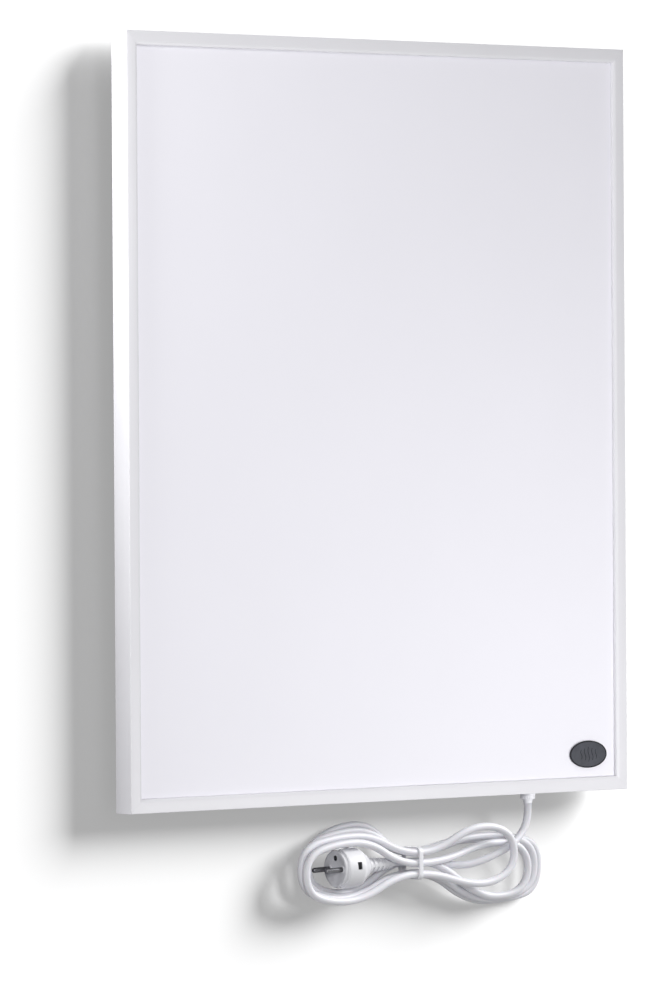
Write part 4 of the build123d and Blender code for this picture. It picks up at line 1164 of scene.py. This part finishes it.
class HEATER_OT_gland(bpy.types.Operator):
    """Turn the gland's collar, its fluted cap and the tapered boot"""

    bl_idname = "heater.gland"
    bl_label = "Cord gland"

    def execute(self, context):
        low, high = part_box("gland_body")
        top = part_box("frame_bottom")[0].z
        axis = Vector(((low.x + high.x) / 2, (low.y + high.y) / 2, top))
        radius = (high.x - low.x) / 2 / MM
        start, thread = (top - low.z) / MM, (high.z - top) / MM
        corners = [
            (-thread, GLAND_BORE, 0), (-thread, THREAD_RADIUS, 0.3), (0, THREAD_RADIUS, 0),
            (0, radius, 0.2), (start, radius, 0.6), (start, GLAND_BORE, 0),
        ]
        turn_piece("gland_collar", axis, outline(corners), "white_nylon", "gland_body")

        low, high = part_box("gland_cap")
        radius, end = (high.x - low.x) / 2 / MM, start + (high.z - low.z) / MM
        corners = [(start, GLAND_BORE, 0), (start, radius, 0.3), (end, radius, 0.9), (end, GLAND_BORE, 0.2)]

        def flute(along, angle, reach):
            groove = FLUTE_DEPTH * (0.5 + 0.5 * cos(FLUTES * angle)) ** 2
            return reach if along < start + 0.3 else reach - groove

        turn_piece("gland_nut_cap", axis, outline(corners, 5), "white_nylon", "gland_cap", flute)

        low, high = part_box("gland_boot")
        boot_end, boot_top = (top - low.z) / MM, (top - high.z) / MM
        corners = [
            (boot_top, BOOT_BORE, 0), (boot_top, BOOT_RADIUS, 0.3), (end, BOOT_RADIUS, 0.3),
            (boot_end - 1.2, 4.15, 0.1), (boot_end - 1.0, 4.2, 0.2), (boot_end, 4.0, 0.3),
            (boot_end, BOOT_BORE, 0),
        ]
        turn_piece("cord_boot", axis, outline(corners), "soft_boot", "gland_boot")
        return {"FINISHED"}


def turn_screw(bm, end, radius, length):
    """A domed head with a cross recess, over its shank."""
    head, shank = min(2.0, length * 0.4), radius * 0.52
    profile = [
        (-length, 0.0), (-length, shank * 0.8), (-length + 0.4, shank), (-head, shank),
        (-head, radius), (-head * 0.55, radius * 0.985), (-head * 0.22, radius * 0.85),
        (-head * 0.02, radius * 0.58), (-head * 0.02, radius * 0.5), (-head * 0.5, radius * 0.4),
        (-head * 0.62, radius * 0.2), (-head * 0.66, 0.0),
    ]

    def cross(along, angle, reach):
        if along < -head * 0.7 or reach > radius * 0.55:
            return reach
        return reach * (0.62 + 0.38 * abs(cos(2 * angle)) ** 3)

    turned(bm, end, TO_WALL, profile, 32, shape=cross)


def turn_rivet(bm, end, radius, length):
    """A blind rivet: a low dome with its drawn stem, and the set tail inside."""
    profile = [
        (-length, 0.0), (-length, 2.4), (-length + 0.4, 2.8), (-length + 1.6, 2.8),
        (-length + 1.6, 2.0), (-1.2, 2.0), (-1.2, radius), (-0.95, radius), (-0.45, radius * 0.8),
        (-0.1, radius * 0.5), (0.0, radius * 0.36), (-0.35, radius * 0.3), (-0.35, 0.0),
    ]
    turned(bm, end, TO_WALL, profile, 28)


def turn_buffer(bm, end, radius, length):
    """A rubber foot with a hollow in its end, on its plug."""
    pad, plug = 15.7, 2.5
    corners = [
        (-length, 0, 0), (-length, plug, 0.5), (-pad, plug, 0), (-pad, radius - 0.8, 0.8),
        (-pad * 0.5, radius - 0.4, 1.0), (-2.2, radius, 0.6), (0, radius, 1.2), (0, 3.0, 0.4),
        (-1.0, 2.4, 0.3), (-1.0, 0, 0),
    ]
    turned(bm, end, TO_WALL, outline(corners), 40)


class HEATER_OT_back(bpy.types.Operator):
    """Dress the back: screw heads, rivets and rubber buffers"""

    bl_idname = "heater.back"
    bl_label = "Back fixings"

    def execute(self, context):
        for node, name, slot, turn in (
            ("rear_cover_screws", "cover_screw_heads", "screw_steel", turn_screw),
            ("terminal_lid_screws", "lid_screw_heads", "screw_steel", turn_screw),
            ("hanger_rivets", "rail_rivets", "screw_steel", turn_rivet),
            ("wall_buffers", "rubber_feet", "soft_rubber", turn_buffer),
        ):
            bm = bmesh.new()
            for low, high in loose_boxes(node):
                end = Vector(((low.x + high.x) / 2, high.y, (low.z + high.z) / 2))
                turn(bm, end, (high.x - low.x) / 2 / MM, (high.y - low.y) / MM)
            finish_piece(name, bm, slot, node)
        return {"FINISHED"}


class HEATER_OT_finishes(bpy.types.Operator):
    """Mix the finishes and give them to the carried-over solids"""

    bl_idname = "heater.finishes"
    bl_label = "Finishes"

    def execute(self, context):
        mix_finishes(context.scene)
        dress_cad_nodes()
        return {"FINISHED"}


# ---- Add-on ----

STEPS = (
    HEATER_OT_stage, HEATER_OT_finishes, HEATER_OT_cord, HEATER_OT_cable_tie, HEATER_OT_plug,
    HEATER_OT_hank_light, HEATER_OT_surround, HEATER_OT_badge, HEATER_OT_gland, HEATER_OT_back,
)


class HEATER_PT_panel(bpy.types.Panel):
    """The heater's steps and settings"""

    bl_label = "Panel heater"
    bl_idname = "HEATER_PT_panel"
    bl_space_type = "VIEW_3D"
    bl_region_type = "UI"
    bl_category = "Heater"

    def draw(self, context):
        layout = self.layout
        for step in STEPS:
            layout.operator(step.bl_idname)
        for name, group in SETTINGS.items():
            box = layout.box()
            settings = getattr(context.scene, name)
            for key in group.__annotations__:
                box.prop(settings, key)


def register():
    for name, group in SETTINGS.items():
        bpy.utils.register_class(group)
        setattr(bpy.types.Scene, name, PointerProperty(type=group))
    for kind in (*STEPS, HEATER_PT_panel):
        bpy.utils.register_class(kind)


def unregister():
    for kind in reversed((*STEPS, HEATER_PT_panel)):
        bpy.utils.unregister_class(kind)
    for name, group in SETTINGS.items():
        delattr(bpy.types.Scene, name)
        bpy.utils.unregister_class(group)


def main():
    register()
    bpy.ops.heater.stage()
    bpy.ops.heater.finishes()
    bpy.ops.heater.cord()
    bpy.ops.heater.cable_tie()
    bpy.ops.heater.plug()
    bpy.ops.heater.hank_light()
    bpy.ops.heater.surround()
    bpy.ops.heater.badge()
    bpy.ops.heater.gland()
    bpy.ops.heater.back()


if __name__ == "__main__":
    main()
